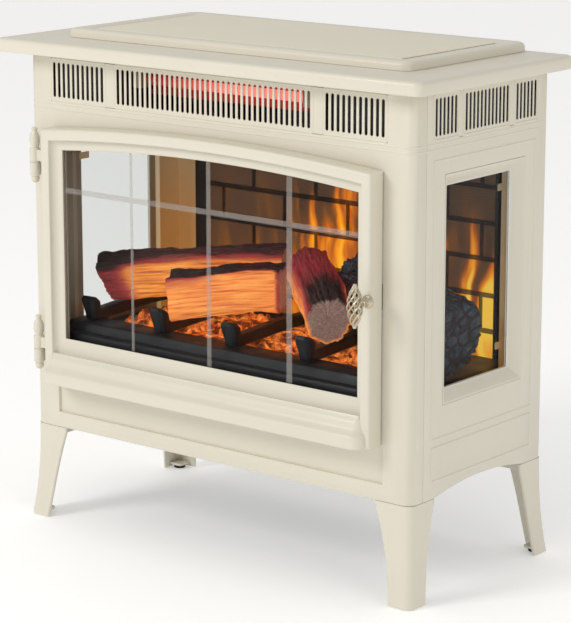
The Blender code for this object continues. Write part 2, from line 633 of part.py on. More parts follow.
def build_grate():
    """Cross bar on short feet with five arms, each ending in a block knob at the front."""
    grate = box("log_grate", "black_metal", (-0.2350, -0.0760, GRATE_Z - 0.004),
                (0.2350, -0.0680, GRATE_Z + 0.004))
    join(grate, box("guide_grate_rear_bar", "black_metal", (-0.2350, 0.0640, GRATE_Z - 0.0035),
                    (0.2350, 0.0710, GRATE_Z + 0.0035)))
    for i, x in enumerate(GRATE_ARMS_X):
        join(grate, box("guide_grate_arm_%d" % i, "black_metal", (x - 0.0045, -0.0740, GRATE_Z - 0.003),
                        (x + 0.0045, 0.0900, GRATE_Z + 0.005)))
        knob = [(-0.0900, GRATE_Z + 0.0140), (-0.0840, GRATE_Z + 0.0190), (-0.0740, GRATE_Z + 0.0170),
                (-0.0690, GRATE_Z + 0.0060), (-0.0720, -0.0020 + GRATE_Z), (-0.0830, GRATE_Z - 0.0020)]
        knob_part = prism("guide_grate_knob_%d" % i, "black_metal", "x", knob, x - 0.0075, x + 0.0075)
        join(grate, knob_part)
    for i, x in enumerate((-0.1620, 0.1620)):
        join(grate, box("guide_grate_foot_%d" % i, "black_metal", (x - 0.004, -0.0750, FLOOR_Z + PLATE + GAP),
                        (x + 0.004, -0.0690, GRATE_Z)))


def build_log(name, slot, start, end, radii, sides, roll):
    """Uneven split log between two points; radii run along it and roll turns its flat sides."""
    axis = Vector(end) - Vector(start)
    direction = axis.normalized()
    across = direction.cross(Vector((0, 0, 1))).normalized()
    upright = across.cross(direction)
    loops = []
    for i, radius in enumerate(radii):
        centre = Vector(start) + axis * i / (len(radii) - 1)
        loop = []
        for k in range(sides):
            angle = 2 * math.pi * k / sides + roll
            r = radius * (1.0 + 0.10 * math.sin(3 * angle + i))
            loop.append(centre + across * (r * math.cos(angle)) + upright * (r * math.sin(angle)))
        loops.append(loop)
    return lofted(name, slot, loops, smooth_angle=50)


def build_logs():
    build_log("log_rear_left", "wood", (-0.2280, -0.0120, 0.2900), (-0.0500, 0.0680, 0.3120),
              (0.0200, 0.0225, 0.0235, 0.0235, 0.0225), 7, 0.5)
    build_log("log_front", "wood", (-0.1200, -0.0560, 0.2800), (0.0260, 0.0000, 0.2990),
              (0.0205, 0.0215, 0.0225, 0.0225, 0.0215), 5, 0.3)
    build_log("log_right", "wood", (0.1210, -0.0450, 0.2850), (0.0420, 0.0620, 0.3010),
              (0.0215, 0.0225, 0.0230, 0.0230, 0.0220), 9, 0.0)
    build_log("log_charred", "charred_wood", (0.2260, 0.0300, 0.2900), (0.1150, 0.0820, 0.3000),
              (0.0280, 0.0310, 0.0315, 0.0300), 8, 0.2)


# ---------------------------------------------------------------- heater in the top
def build_heater():
    low_z = CEILING_Z + PLATE + GAP
    housing = box("heater_housing", "zinc", (-0.1500, BODY_FRONT + SHEET + 0.0030, low_z),
                  (0.1500, -0.0320, 0.5600))
    cut(housing, box("guide_duct", "zinc", (-0.1485, -0.1100, low_z + 0.0015), (0.1485, -0.0200, 0.5585)))
    trough = arc((TUBE_Y, TUBE_Z), 0.0160, -70, 70, 8) + arc((TUBE_Y, TUBE_Z), 0.0172, 70, -70, 8)
    prism("heat_reflector", "aluminium", "x", trough, -0.1200, 0.1140)
    turned("quartz_tube", "quartz", [(0, -0.1200), (TUBE_R, -0.1200), (TUBE_R, 0.1140), (0, 0.1140)],
           (0, TUBE_Y, TUBE_Z), "x", 12)
    for label, near, far in (("left", -0.1320, -0.1203), ("right", 0.1143, 0.1260)):
        prism("tube_holder_" + label, "ceramic", "x",
              rectangle(TUBE_Y - 0.009, TUBE_Y + 0.009, TUBE_Z - 0.009, TUBE_Z + 0.009), near, far)


def star(teeth, outer, inner, width):
    """Blade outline of a rotor: narrow blades round a hub, in the plane across its shaft."""
    points = []
    for k in range(teeth):
        middle = 2 * math.pi * k / teeth
        for radius, offset in ((inner, -width), (outer, -width * 0.6), (outer, width * 0.1), (inner, width)):
            angle = middle + offset
            points.append((radius * math.cos(angle), radius * math.sin(angle)))
    return points


def rotor(name, slot, teeth, outer, inner, width, span, shaft, centre):
    """Bladed drum on a shaft along X, with its origin on the shaft's axis."""
    drum = prism(name, slot, "x", star(teeth, outer, inner, width), span[0], span[1])
    drum.location = centre
    rod = prism("guide_shaft_" + name, slot, "x", circle((0, 0), 0.0030, 10), shaft[0], shaft[1])
    rod.location = centre
    join(drum, rod)
    return drum


def build_blower():
    """Crossflow drum in a scroll casing, driven by a motor at its right end."""
    rotor("blower_wheel", "black_plastic", 14, BLOWER_R, 0.0130, 0.12, (-0.1400, 0.1000),
          (-0.1480, 0.1180), (0, BLOWER_Y, BLOWER_Z))
    inner_r = BLOWER_R + 0.0035
    outer_r = inner_r + 0.0012
    scroll = arc((BLOWER_Y, BLOWER_Z), inner_r, -60, 150, 10) + arc((BLOWER_Y, BLOWER_Z), outer_r, 150, -60, 10)
    casing = prism("blower_housing", "zinc", "x", scroll, -0.1450, 0.1050)
    for label, near, far in (("left", -0.1462, -0.1440), ("right", 0.1040, 0.1062)):
        cheek = prism("guide_blower_cheek_" + label, "zinc", "x",
                      rectangle(BLOWER_Y - outer_r, BLOWER_Y + outer_r, BLOWER_Z - outer_r, BLOWER_Z + outer_r),
                      near, far)
        cut(cheek, prism("guide_cheek_hole_" + label, "zinc", "x",
                         circle((BLOWER_Y, BLOWER_Z), 0.0036, 10), near - 0.01, far + 0.01))
        join(casing, cheek)
    turned("blower_motor", "zinc",
           [(0, 0.0130), (0.0034, 0.0130), (0.0034, 0), (0.0100, 0), (0.0225, 0.0040), (0.0225, 0.0320),
            (0.0180, 0.0360), (0, 0.0360)],
           (0.1075, BLOWER_Y, BLOWER_Z), "x", 16)


def build_flame_rotor():
    """Reflector rotor under the light slot, with its motor and end bearing."""
    rotor("flame_rotor", "aluminium", 5, 0.0170, 0.0034, 0.30, (-0.1800, 0.1700),
          (-0.2010, 0.1880), (0, ROTOR_Y, ROTOR_Z))
    turned("rotor_motor", "zinc",
           [(0, 0.0110), (0.0034, 0.0110), (0.0034, 0), (0.0150, 0), (0.0185, 0.0030), (0.0185, 0.0240),
            (0, 0.0240)],
           (0.1775, ROTOR_Y, ROTOR_Z), "x", 14)
    bearing = box("rotor_bearing", "black_plastic", (-0.1980, ROTOR_Y - 0.010, BASE_Z + PLATE + GAP),
                  (-0.1920, ROTOR_Y + 0.010, ROTOR_Z + 0.010))
    cut(bearing, prism("guide_bearing_hole", "black_plastic", "x", circle((ROTOR_Y, ROTOR_Z), 0.0034, 10),
                       -0.2100, -0.1800))
    box("led_board", "circuit_board", (-0.1800, 0.0880, BASE_Z + PLATE + GAP), (0.1800, 0.0896, 0.1850))


# ---------------------------------------------------------------- controls
def build_controls():
    """Bezel with four push buttons on the cabinet front, hidden behind the door's lower rail."""
    low_z, high_z = BUTTON_Z - 0.0107, BUTTON_Z + 0.0107
    panel = box("control_panel", "black_plastic", (0.0603, BODY_FRONT - 0.0010, low_z),
                (0.1797, BODY_FRONT + 0.0035, high_z))
    clear = 0.0004
    holes = [rectangle(x - BUTTON_HALF[0] - clear, x + BUTTON_HALF[0] + clear,
                       BUTTON_Z - BUTTON_HALF[1] - clear, BUTTON_Z + BUTTON_HALF[1] + clear) for x in BUTTON_X]
    cut(panel, cutter_of("guide_button_holes", "y", holes, BODY_FRONT - 0.01, BODY_FRONT + 0.01))
    for x, label in zip(BUTTON_X, BUTTON_NAMES):
        outline = rounded_rectangle(-BUTTON_HALF[0], BUTTON_HALF[0], -BUTTON_HALF[1], BUTTON_HALF[1], 0.0015, 2)
        button = prism("button_" + label, "black_plastic", "y", outline, 0.0, 0.0100)
        button.location = (x, BUTTON_FRONT, BUTTON_Z)
    box("control_board", "circuit_board", (0.0560, BODY_FRONT + 0.0090, 0.1820),
        (0.1840, BODY_FRONT + 0.0106, 0.2150))


def build():
    for obj in list(bpy.data.objects):
        bpy.data.objects.remove(obj, do_unlink=True)
    build_mantel_top()
    build_top_panel()
    build_cabinet_front()
    build_front_grille()
    build_side(-1, "left")
    build_side(1, "right")
    build_back_and_base()
    for side_y, depth_label in ((-1, "front"), (1, "rear")):
        for side_x, width_label in ((-1, "left"), (1, "right")):
            build_leg(side_x, side_y, depth_label + "_" + width_label)
    build_door()
    for label, joint_z in HINGE_JOINTS.items():
        build_hinge(label, joint_z)
    build_handle()
    build_catch()
    build_firebox()
    build_ember_bed()
    build_grate()
    build_logs()
    build_heater()
    build_blower()
    build_flame_rotor()
    build_controls()


build()
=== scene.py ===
# %% [markdown]
# # Building the looks of a stove-style electric fireplace
# The stove is a cream enamelled steel cabinet on four splayed legs, with a glazed door, two side windows, a log set
# on a grate, and a small heater behind the slots at the top. A frame of plain solids already gives every place and
# every size. This lesson builds the finished surfaces round that frame, one piece or one finish at a time. The
# frame is loaded first, and its box is kept; the last cell sets the floor just under it.

# %% Load the frame
import math
import random

import bmesh
import bpy
import numpy as np
from mathutils import Matrix, Vector, noise


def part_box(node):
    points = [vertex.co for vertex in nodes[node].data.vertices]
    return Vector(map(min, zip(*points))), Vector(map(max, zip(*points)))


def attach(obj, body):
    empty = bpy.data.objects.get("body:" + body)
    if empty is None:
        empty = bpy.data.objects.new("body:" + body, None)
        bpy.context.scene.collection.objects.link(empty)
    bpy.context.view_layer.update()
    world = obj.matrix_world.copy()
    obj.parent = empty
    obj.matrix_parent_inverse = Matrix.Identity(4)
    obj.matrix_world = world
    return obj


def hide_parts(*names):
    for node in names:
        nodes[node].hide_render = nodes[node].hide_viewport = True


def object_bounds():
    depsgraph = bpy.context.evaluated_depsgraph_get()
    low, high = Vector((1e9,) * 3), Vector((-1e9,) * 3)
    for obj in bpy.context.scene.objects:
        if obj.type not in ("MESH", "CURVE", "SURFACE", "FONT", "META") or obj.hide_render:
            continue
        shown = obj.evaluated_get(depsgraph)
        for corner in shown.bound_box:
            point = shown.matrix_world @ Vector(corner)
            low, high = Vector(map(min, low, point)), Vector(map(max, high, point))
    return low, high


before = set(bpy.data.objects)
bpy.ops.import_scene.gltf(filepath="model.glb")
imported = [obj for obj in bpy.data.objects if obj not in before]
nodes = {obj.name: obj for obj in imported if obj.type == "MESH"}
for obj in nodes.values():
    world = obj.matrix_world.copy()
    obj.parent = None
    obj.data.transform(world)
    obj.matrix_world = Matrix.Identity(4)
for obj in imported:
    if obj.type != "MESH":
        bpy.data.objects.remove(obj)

cad_low, cad_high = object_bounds()
print("frame:", len(nodes), "nodes,", [round(v, 4) for v in (cad_high - cad_low)], "m")

# %% [markdown]
# ## The camera and the room
# The stove stands on a pale floor that runs far past the view, under a bright and even sky, as in a studio with
# white walls. A long lens keeps the cabinet's edges nearly parallel. Two large soft lamps give the edges a
# highlight: the front gets a little more light than the side. One lamp alone would throw hard shadows over the
# mouldings.

# %% Camera, lamps and floor
scene = bpy.context.scene
scene.view_settings.view_transform = "Standard"
camera_data = bpy.data.cameras.new("camera")
camera_data.lens = 147.9
camera_data.sensor_width = 36.0
camera = bpy.data.objects.new("camera", camera_data)
camera.location = (1.819, -2.228, 0.935)
camera.rotation_euler = (math.radians(90 - 12.99), 0.0, math.radians(38.863))
scene.collection.objects.link(camera)
scene.camera = camera

world = bpy.data.worlds.new("studio")
scene.world = world
world.use_nodes = True
sky = world.node_tree.nodes["Background"]
sky.inputs["Color"].default_value = (1.0, 0.995, 0.985, 1.0)
sky.inputs["Strength"].default_value = 0.64


LAMP_WHITE = (1.0, 0.99, 0.975)


def lamp(name, place, aim, size, watts):
    """A square soft box at a place, turned towards the point it lights."""
    data = bpy.data.lights.new(name, "AREA")
    data.size = size
    data.energy = watts
    data.color = LAMP_WHITE
    made = bpy.data.objects.new(name, data)
    made.location = place
    made.rotation_euler = (Vector(aim) - Vector(place)).to_track_quat("-Z", "Y").to_euler()
    scene.collection.objects.link(made)
    return made


lamp("key_softbox", (-1.0, -2.5, 2.0), (0, 0, 0.3), 1.0, 33)
lamp("side_softbox", (2.6, -1.0, 1.3), (0, 0, 0.3), 1.2, 7)

# %% [markdown]
# ## Small helpers for shader nodes
# A finish is a Principled shader with a few textures in front of it. Adding nodes by hand takes many lines, so one
# helper adds a node, sets its values and joins its links at once. Colours are written as a painter reads them off a
# chart, 0 to 255, and are turned into the linear values that the renderer works with.

# %% Shader helpers
def tone(red, green, blue):
    """A chart colour, 0 to 255 each, as the linear colour that a shader takes."""
    def linear(value):
        share = value / 255
        return share / 12.92 if share <= 0.04045 else ((share + 0.055) / 1.055) ** 2.4
    return (linear(red), linear(green), linear(blue), 1.0)


def add(tree, kind, values=None, **settings):
    """One node with its settings; a value that is a socket is linked, any other is set."""
    made = tree.nodes.new(kind)
    for key, value in settings.items():
        setattr(made, key, value)
    for key, value in (values or {}).items():
        if isinstance(value, bpy.types.NodeSocket):
            tree.links.new(value, made.inputs[key])
        else:
            made.inputs[key].default_value = value
    return made


def sums(tree, operation, first, second=0.0, third=0.0, clamp=False):
    """One Math node; each number can be a socket."""
    values = {0: first, 1: second, 2: third}
    return add(tree, "ShaderNodeMath", values, operation=operation, use_clamp=clamp).outputs[0]


def ramp(tree, factor, stops):
    """A colour ramp through (position, colour) stops."""
    made = add(tree, "ShaderNodeValToRGB", {"Fac": factor})
    points = made.color_ramp.elements
    while len(points) < len(stops):
        points.new(0.5)
    for point, (position, colour) in zip(points, stops):
        point.position = position
        point.color = colour
    return made.outputs["Color"]


def between(tree, value, low, high, to_low=0.0, to_high=1.0):
    """A value from low to high spread over another range, held at both ends."""
    values = {"Value": value, "From Min": low, "From Max": high, "To Min": to_low, "To Max": to_high}
    return add(tree, "ShaderNodeMapRange", values, interpolation_type="SMOOTHSTEP").outputs["Result"]


def place_in(tree, scale=(1, 1, 1)):
    """Object coordinates, stretched."""
    coords = add(tree, "ShaderNodeTexCoord").outputs["Object"]
    return add(tree, "ShaderNodeMapping", {"Vector": coords, "Scale": scale}).outputs[0]


def cloud(tree, vector, scale, detail=4.0, roughness=0.55, twist=0.0):
    """The grey value of a noise texture."""
    values = {"Vector": vector, "Scale": scale, "Detail": detail, "Roughness": roughness, "Distortion": twist}
    return add(tree, "ShaderNodeTexNoise", values).outputs["Fac"]


def mixed(tree, factor, first, second):
    """Two colours mixed by a factor."""
    made = add(tree, "ShaderNodeMix", data_type="RGBA")
    for socket, value in ((made.inputs[0], factor), (made.inputs[6], first), (made.inputs[7], second)):
        if isinstance(value, bpy.types.NodeSocket):
            tree.links.new(value, socket)
        else:
            socket.default_value = value
    return made.outputs[2]


def finish(name, metallic=0.0, **shader_values):
    """A new material, its node tree and its Principled shader with constants set on its own sockets."""
    material = bpy.data.materials.new(name)
    material.use_nodes = True
    shader = material.node_tree.nodes["Principled BSDF"]
    shader.inputs["Metallic"].default_value = metallic
    for key, value in shader_values.items():
        shader.inputs[key.replace("_", " ").title()].default_value = value
    return material, material.node_tree, shader


def set_surface(tree, shader, colour=None, roughness=None, height=None, depth=0.0002, strength=0.5):
    """Link a colour, a roughness and a bump height into a shader."""
    if colour is not None:
        tree.links.new(colour, shader.inputs["Base Color"])
    if roughness is not None:
        tree.links.new(roughness, shader.inputs["Roughness"])
    if height is not None:
        bump = add(tree, "ShaderNodeBump", {"Height": height, "Distance": depth, "Strength": strength})
        tree.links.new(bump.outputs["Normal"], shader.inputs["Normal"])


# %% [markdown]
# ## Painted, plated and moulded finishes
# The cabinet is baked enamel: a warm cream with a faint orange-peel skin, a little uneven in gloss. One function
# makes such a skin for any colour, so the cream sheet, the black inner steel, the moulded plastics and the rubber
# differ only in colour, gloss and grain. A flat colour would look like a toy, and a picture of paint would repeat.

# %% Enamel, plastic and bare metal
def skin(name, colour, vary, gloss, grain, depth, metallic=0.0, **shader_values):
    """A coated surface: colour drifts by vary, gloss is a roughness range, grain is the size of its bump."""
    material, tree, shader = finish(name, metallic, **shader_values)
    coords = place_in(tree)
    drift = cloud(tree, coords, 9.0, 5.0)
    dark = tuple(c * (1 - vary) for c in colour[:3]) + (1.0,)
    light = tuple(min(1.0, c * (1 + vary)) for c in colour[:3]) + (1.0,)
    shade = ramp(tree, drift, ((0.3, dark), (0.7, light)))
    smudge = cloud(tree, coords, 38.0, 3.0)
    rough = between(tree, smudge, 0.3, 0.7, gloss[0], gloss[1])
    peel = cloud(tree, coords, grain, 2.0)
    set_surface(tree, shader, shade, rough, peel, depth, 0.35)
    return material


CREAM = tone(218, 212, 195)
cream_enamel = skin("cream_enamel", CREAM, 0.015, (0.34, 0.46), 620.0, 0.00012, coat_weight=0.12)
black_enamel = skin("black_enamel", tone(22, 24, 28), 0.25, (0.45, 0.62), 500.0, 0.0002)
cast_iron = skin("cast_iron", tone(17, 20, 25), 0.30, (0.42, 0.62), 260.0, 0.0009)
black_plastic = skin("black_plastic", tone(28, 28, 30), 0.15, (0.38, 0.52), 900.0, 0.0002)
soft_rubber = skin("soft_rubber", tone(18, 18, 18), 0.2, (0.7, 0.9), 700.0, 0.0003)
zinc_sheet = skin("zinc_sheet", tone(168, 170, 172), 0.08, (0.3, 0.5), 90.0, 0.0001, 1.0)
bright_aluminium = skin("bright_aluminium", tone(214, 215, 217), 0.03, (0.16, 0.28), 400.0, 0.00006, 1.0)
aged_nickel = skin("aged_nickel", tone(196, 186, 164), 0.12, (0.18, 0.34), 300.0, 0.00008, 1.0)
# The tube holders are white ceramic; their darker grey-beige here is painted shade, for their place deep behind the
# slots.
ceramic_painted_shade = skin("ceramic_painted_shade", tone(168, 158, 144), 0.04, (0.5, 0.7), 500.0, 0.0002)
green_board = skin("green_board", tone(24, 92, 48), 0.10, (0.35, 0.5), 240.0, 0.0002)
print("coated finishes:", len(bpy.data.materials))

# %% [markdown]
# ## Glass and its bevelled lines
# The panes are thin flat glass. Glass that bends light would need many rays and would darken what is behind it, so
# a pane is mostly clear, and mirrors more as it is seen edge-on. The decorative lines are ground into the glass:
# their slopes scatter light, so they look like pale grey-violet strips that still let the fire through.

# %% Clear panes and ground lines
def clear_glass(name, tint, body, edge, roughness):
    """A see-through sheet: body is how much of it shows face-on, edge how much more shows at a glancing angle."""
    material, tree, shader = finish(name, roughness=roughness)
    shader.inputs["Base Color"].default_value = tint
    grazing = add(tree, "ShaderNodeLayerWeight", {"Blend": 0.22}).outputs["Fresnel"]
    share = sums(tree, "MULTIPLY_ADD", grazing, edge, body, clamp=True)
    open_air = add(tree, "ShaderNodeBsdfTransparent", {"Color": (0.985, 0.99, 0.985, 1.0)})
    blend = add(tree, "ShaderNodeMixShader", {0: share, 1: open_air.outputs[0], 2: shader.outputs[0]})
    tree.links.new(blend.outputs[0], tree.nodes["Material Output"].inputs["Surface"])
    return material


pane_glass = clear_glass("pane_glass", tone(20, 22, 24), 0.03, 0.30, 0.03)
ground_glass = clear_glass("ground_glass", tone(176, 168, 162), 0.24, 0.30, 0.20)

# %% [markdown]
# ## The light of the flames
# In this kind of stove the flames are moving light thrown on the brick screen from below. Here they stand still: a
# block of light that is strongest low down on the right, breaks into upright tongues, and fades above the logs. Two
# noises, both pulled out tall, make the tongues. The same light is added to the bricks and to the mortar between
# them, so that it runs across the joints without a break.

# %% Flame light for the brick screen
def flame_light(tree):
    """The colour of the thrown light at each point of the screen."""
    coords = place_in(tree)
    split = add(tree, "ShaderNodeSeparateXYZ", {"Vector": coords}).outputs
    across, up = split["X"], split["Z"]
    sway = cloud(tree, place_in(tree, (5, 1, 9)), 1.0, 2.0)
    shifted = sums(tree, "MULTIPLY_ADD", sway, 0.05, across)
    moved = add(tree, "ShaderNodeCombineXYZ", {"X": sums(tree, "MULTIPLY", shifted, 34.0),
                                               "Y": 0.0, "Z": sums(tree, "MULTIPLY", up, 6.5)}).outputs[0]
    tongues = cloud(tree, moved, 1.0, 3.0, 0.5, 0.4)
    wide = add(tree, "ShaderNodeCombineXYZ", {"X": sums(tree, "MULTIPLY", shifted, 11.0),
                                              "Y": 3.0, "Z": sums(tree, "MULTIPLY", up, 4.0)}).outputs[0]
    sheets = cloud(tree, wide, 1.0, 2.0, 0.5, 0.3)
    right_side = between(tree, across, -0.19, 0.09, 0.42, 1.0)
    reach = sums(tree, "MULTIPLY_ADD", tongues, 0.34, 0.128)
    reach = sums(tree, "MULTIPLY_ADD", right_side, 0.062, reach)
    height = sums(tree, "SUBTRACT", up, reach)
    body = between(tree, height, -0.13, 0.06, 1.0, 0.0)
    body = sums(tree, "MULTIPLY", body, right_side)
    streak = between(tree, tongues, 0.36, 0.66, 0.30, 1.15)
    patch = between(tree, sheets, 0.30, 0.62, 0.35, 1.1)
    heat = sums(tree, "MULTIPLY", body, sums(tree, "MULTIPLY", streak, patch), clamp=True)
    return ramp(tree, heat, ((0.0, tone(60, 43, 29)), (0.12, tone(104, 62, 24)), (0.32, tone(190, 92, 12)),
                             (0.60, tone(240, 150, 16)), (0.95, tone(255, 205, 70))))


def fired_clay(name, dark, light, strength, depth):
    """Rough clay or mortar, with the thrown flame light on it."""
    material, tree, shader = finish(name, emission_strength=strength)
    coords = place_in(tree)
    blotch = cloud(tree, coords, 26.0, 6.0, 0.6)
    sand = cloud(tree, coords, 420.0, 4.0, 0.7)
    colour = mixed(tree, 0.35, ramp(tree, blotch, ((0.30, dark), (0.72, light))),
                   ramp(tree, sand, ((0.35, dark), (0.65, light))))
    set_surface(tree, shader, colour, between(tree, sand, 0.3, 0.7, 0.75, 0.95), sand, depth, 0.8)
    tree.links.new(flame_light(tree), shader.inputs["Emission Color"])
    return material


brick_clay = fired_clay("brick_clay", tone(62, 46, 38), tone(104, 78, 60), 1.15, 0.0012)
dark_mortar = fired_clay("dark_mortar", tone(24, 20, 20), tone(46, 38, 36), 0.16, 0.0010)

# %% [markdown]
# ## Logs, embers and charcoal
# The logs are cast resin shells lit from inside. Their bark is dark, their split faces glow orange with a grain
# that runs along the log, and the round cut ends show pale rings. Each log carries its own coordinates, stored on
# the mesh as it is made: how far along, how far round, and how much bark covers the place. The grain follows those,
# so it bends with the log.

# %% Wood and ember finishes
def log_wood(name, bark, skin_colour, face_dark, face_light, strength):
    """Glowing split wood under bark. The attribute wood holds length, girth and bark cover; tip marks cut ends."""
    material, tree, shader = finish(name, emission_strength=strength)
    wood = add(tree, "ShaderNodeAttribute", attribute_name="wood").outputs["Vector"]
    tip = add(tree, "ShaderNodeAttribute", attribute_name="tip").outputs["Fac"]
    split = add(tree, "ShaderNodeSeparateXYZ", {"Vector": wood}).outputs
    length, girth, cover = split["X"], split["Y"], split["Z"]
    fibre_at = add(tree, "ShaderNodeCombineXYZ", {"X": sums(tree, "MULTIPLY", length, 16.0),
                                                  "Y": sums(tree, "MULTIPLY", girth, 330.0), "Z": 0.0}).outputs[0]
    fibre = cloud(tree, fibre_at, 1.0, 6.0, 0.62, 0.25)
    band_at = add(tree, "ShaderNodeCombineXYZ", {"X": sums(tree, "MULTIPLY", length, 9.0),
                                                 "Y": sums(tree, "MULTIPLY", girth, 70.0), "Z": 4.0}).outputs[0]
    band = cloud(tree, band_at, 1.0, 3.0, 0.5, 0.5)
    rings = cloud(tree, place_in(tree, (1, 0.3, 1)), 520.0, 4.0, 0.7)
    face = mixed(tree, band, ramp(tree, fibre, ((0.32, face_dark), (0.60, face_light))),
                 ramp(tree, fibre, ((0.34, face_dark), (0.50, face_light), (0.70, tone(255, 196, 112)))))
    blush = ramp(tree, fibre, ((0.30, skin_colour), (0.56, tone(196, 62, 70)), (0.75, tone(240, 150, 130))))
    shade = sums(tree, "MULTIPLY_ADD", sums(tree, "SUBTRACT", fibre, 0.5), 0.9, cover)
    edge = between(tree, shade, 0.18, 0.52)
    crust = between(tree, shade, 0.50, 0.78)
    colour = mixed(tree, edge, face, blush)
    colour = mixed(tree, crust, colour, ramp(tree, fibre, ((0.3, bark), (0.8, tone(96, 62, 52)))))
    cut_end = ramp(tree, rings, ((0.30, tone(150, 110, 98)), (0.52, tone(186, 150, 136)),
                                 (0.72, tone(214, 188, 174))))
    colour = mixed(tree, tip, colour, cut_end)
    colour = mixed(tree, 0.35, colour, (0.02, 0.01, 0.008, 1))
    glow = mixed(tree, edge, face, mixed(tree, 0.55, blush, (0, 0, 0, 1)))
    glow = mixed(tree, crust, glow, (0.004, 0.002, 0.002, 1))
    glow = mixed(tree, tip, glow, mixed(tree, 0.78, cut_end, (0.02, 0.004, 0.002, 1)))
    tree.links.new(glow, shader.inputs["Emission Color"])
    set_surface(tree, shader, colour, between(tree, fibre, 0.3, 0.7, 0.55, 0.85), fibre, 0.0022, 0.75)
    return material


oak_split = log_wood("oak_split", tone(46, 26, 28), tone(140, 34, 44), tone(196, 84, 34), tone(250, 152, 74), 0.70)
dim_split = log_wood("dim_split", tone(58, 40, 36), tone(104, 58, 48), tone(170, 84, 34), tone(248, 150, 64), 0.62)


def charcoal(name, dark, ash, seam, strength):
    """Burnt wood: checked into blocks, ash on its high spots, a faint glow in its cracks."""
    material, tree, shader = finish(name, emission_strength=strength)
    coords = place_in(tree)
    cells = add(tree, "ShaderNodeTexVoronoi", {"Vector": coords, "Scale": 62.0}, feature="DISTANCE_TO_EDGE")
    crack = between(tree, cells.outputs["Distance"], 0.0, 0.16)
    dust = cloud(tree, coords, 120.0, 6.0, 0.68)
    grey = ramp(tree, dust, ((0.36, dark), (0.60, ash), (0.80, tone(150, 152, 158))))
    set_surface(tree, shader, mixed(tree, crack, dark, grey), between(tree, dust, 0.3, 0.7, 0.6, 0.9),
                sums(tree, "MULTIPLY_ADD", crack, 0.7, dust), 0.0030, 0.9)
    tree.links.new(mixed(tree, crack, seam, (0, 0, 0, 1)), shader.inputs["Emission Color"])
    return material


charred_bark = charcoal("charred_bark", tone(34, 37, 43), tone(92, 100, 112), tone(70, 24, 12), 0.25)


def hot_ember(name, strength):
    """Glowing coals: yellow-white hollows, orange sides, crusted grey-brown on top."""
    material, tree, shader = finish(name, emission_strength=strength)
    coords = place_in(tree)
    lumps = add(tree, "ShaderNodeTexVoronoi", {"Vector": coords, "Scale": 46.0}, feature="DISTANCE_TO_EDGE")
    seam = between(tree, lumps.outputs["Distance"], 0.02, 0.30)
    fleck = cloud(tree, coords, 130.0, 7.0, 0.75, 0.6)
    crust = sums(tree, "MULTIPLY_ADD", seam, 0.22, sums(tree, "MULTIPLY", fleck, 0.92), clamp=True)
    colour = ramp(tree, crust, ((0.30, tone(255, 170, 60)), (0.48, tone(196, 92, 32)), (0.66, tone(84, 46, 30)),
                                (0.85, tone(60, 48, 44))))
    light = ramp(tree, crust, ((0.30, tone(255, 186, 84)), (0.42, tone(226, 126, 48)), (0.58, tone(128, 56, 18)),
                               (0.78, tone(20, 7, 3))))
    set_surface(tree, shader, colour, between(tree, fleck, 0.3, 0.7, 0.6, 0.9),
                sums(tree, "ADD", seam, fleck), 0.0022, 0.8)
    tree.links.new(light, shader.inputs["Emission Color"])
    return material


ember_coals = hot_ember("ember_coals", 0.8)
print("finishes in all:", len(bpy.data.materials))

# %% [markdown]
# ## Turning outlines into solids
# Most of the stove is folded or pressed sheet, so most pieces are a stack of outlines joined side to side, which is
# called a loft. The outline can change a little from one level to the next, and that is how an edge gets its
# roundness. Joining cubes would need a bevel on every edge, and would not follow the curved legs or the arched
# door.

# %% Mesh helpers
def from_bmesh(name, bm, material, sharp=35.0):
    """One object from a bmesh, merged, facing outwards, smooth except over sharp edges."""
    bmesh.ops.remove_doubles(bm, verts=bm.verts, dist=0.000002)
    bmesh.ops.recalc_face_normals(bm, faces=bm.faces)
    mesh = bpy.data.meshes.new(name)
    bm.to_mesh(mesh)
    bm.free()
    mesh.shade_smooth()
    mesh.set_sharp_from_angle(angle=math.radians(sharp))
    mesh.materials.append(material)
    made = bpy.data.objects.new(name, mesh)
    scene.collection.objects.link(made)
    return made


def skin_loops(bm, loops, closed=False):
    """Join equal loops of points one to the next; cap the two ends, or close the stack into a ring."""
    rings = [[bm.verts.new(point) for point in loop] for loop in loops]
    pairs = list(zip(rings[:-1], rings[1:]))
    if closed:
        pairs.append((rings[-1], rings[0]))
    count = len(rings[0])
    for first, second in pairs:
        for i in range(count):
            j = (i + 1) % count
            bm.faces.new((first[i], first[j], second[j], second[i]))
    if not closed:
        bm.faces.new(rings[0])
        bm.faces.new(list(reversed(rings[-1])))


def lofted(name, loops, material, closed=False, sharp=35.0):
    bm = bmesh.new()
    skin_loops(bm, loops, closed)
    return from_bmesh(name, bm, material, sharp)


def arc(centre, radius, start, end, steps):
    """Points on an arc, angles in degrees, both ends included."""
    angles = [math.radians(start + (end - start) * i / steps) for i in range(steps + 1)]
    return [(centre[0] + radius * math.cos(a), centre[1] + radius * math.sin(a)) for a in angles]


def rounded(a0, a1, b0, b1, radius, steps=8):
    """A rectangle with round corners, starting at its lower right one."""
    corners = (((a1 - radius, b0 + radius), -90), ((a1 - radius, b1 - radius), 0),
               ((a0 + radius, b1 - radius), 90), ((a0 + radius, b0 + radius), 180))
    points = []
    for centre, start in corners:
        points += arc(centre, radius, start, start + 90, steps)
    return points


def prism_into(bm, axis, outline, low, high):
    """An outline run along an axis inside a bmesh that is being made."""
    spots = {"x": lambda a, b, c: (c, a, b), "y": lambda a, b, c: (a, c, b), "z": lambda a, b, c: (a, b, c)}
    skin_loops(bm, [[spots[axis](a, b, low) for a, b in outline], [spots[axis](a, b, high) for a, b in outline]])


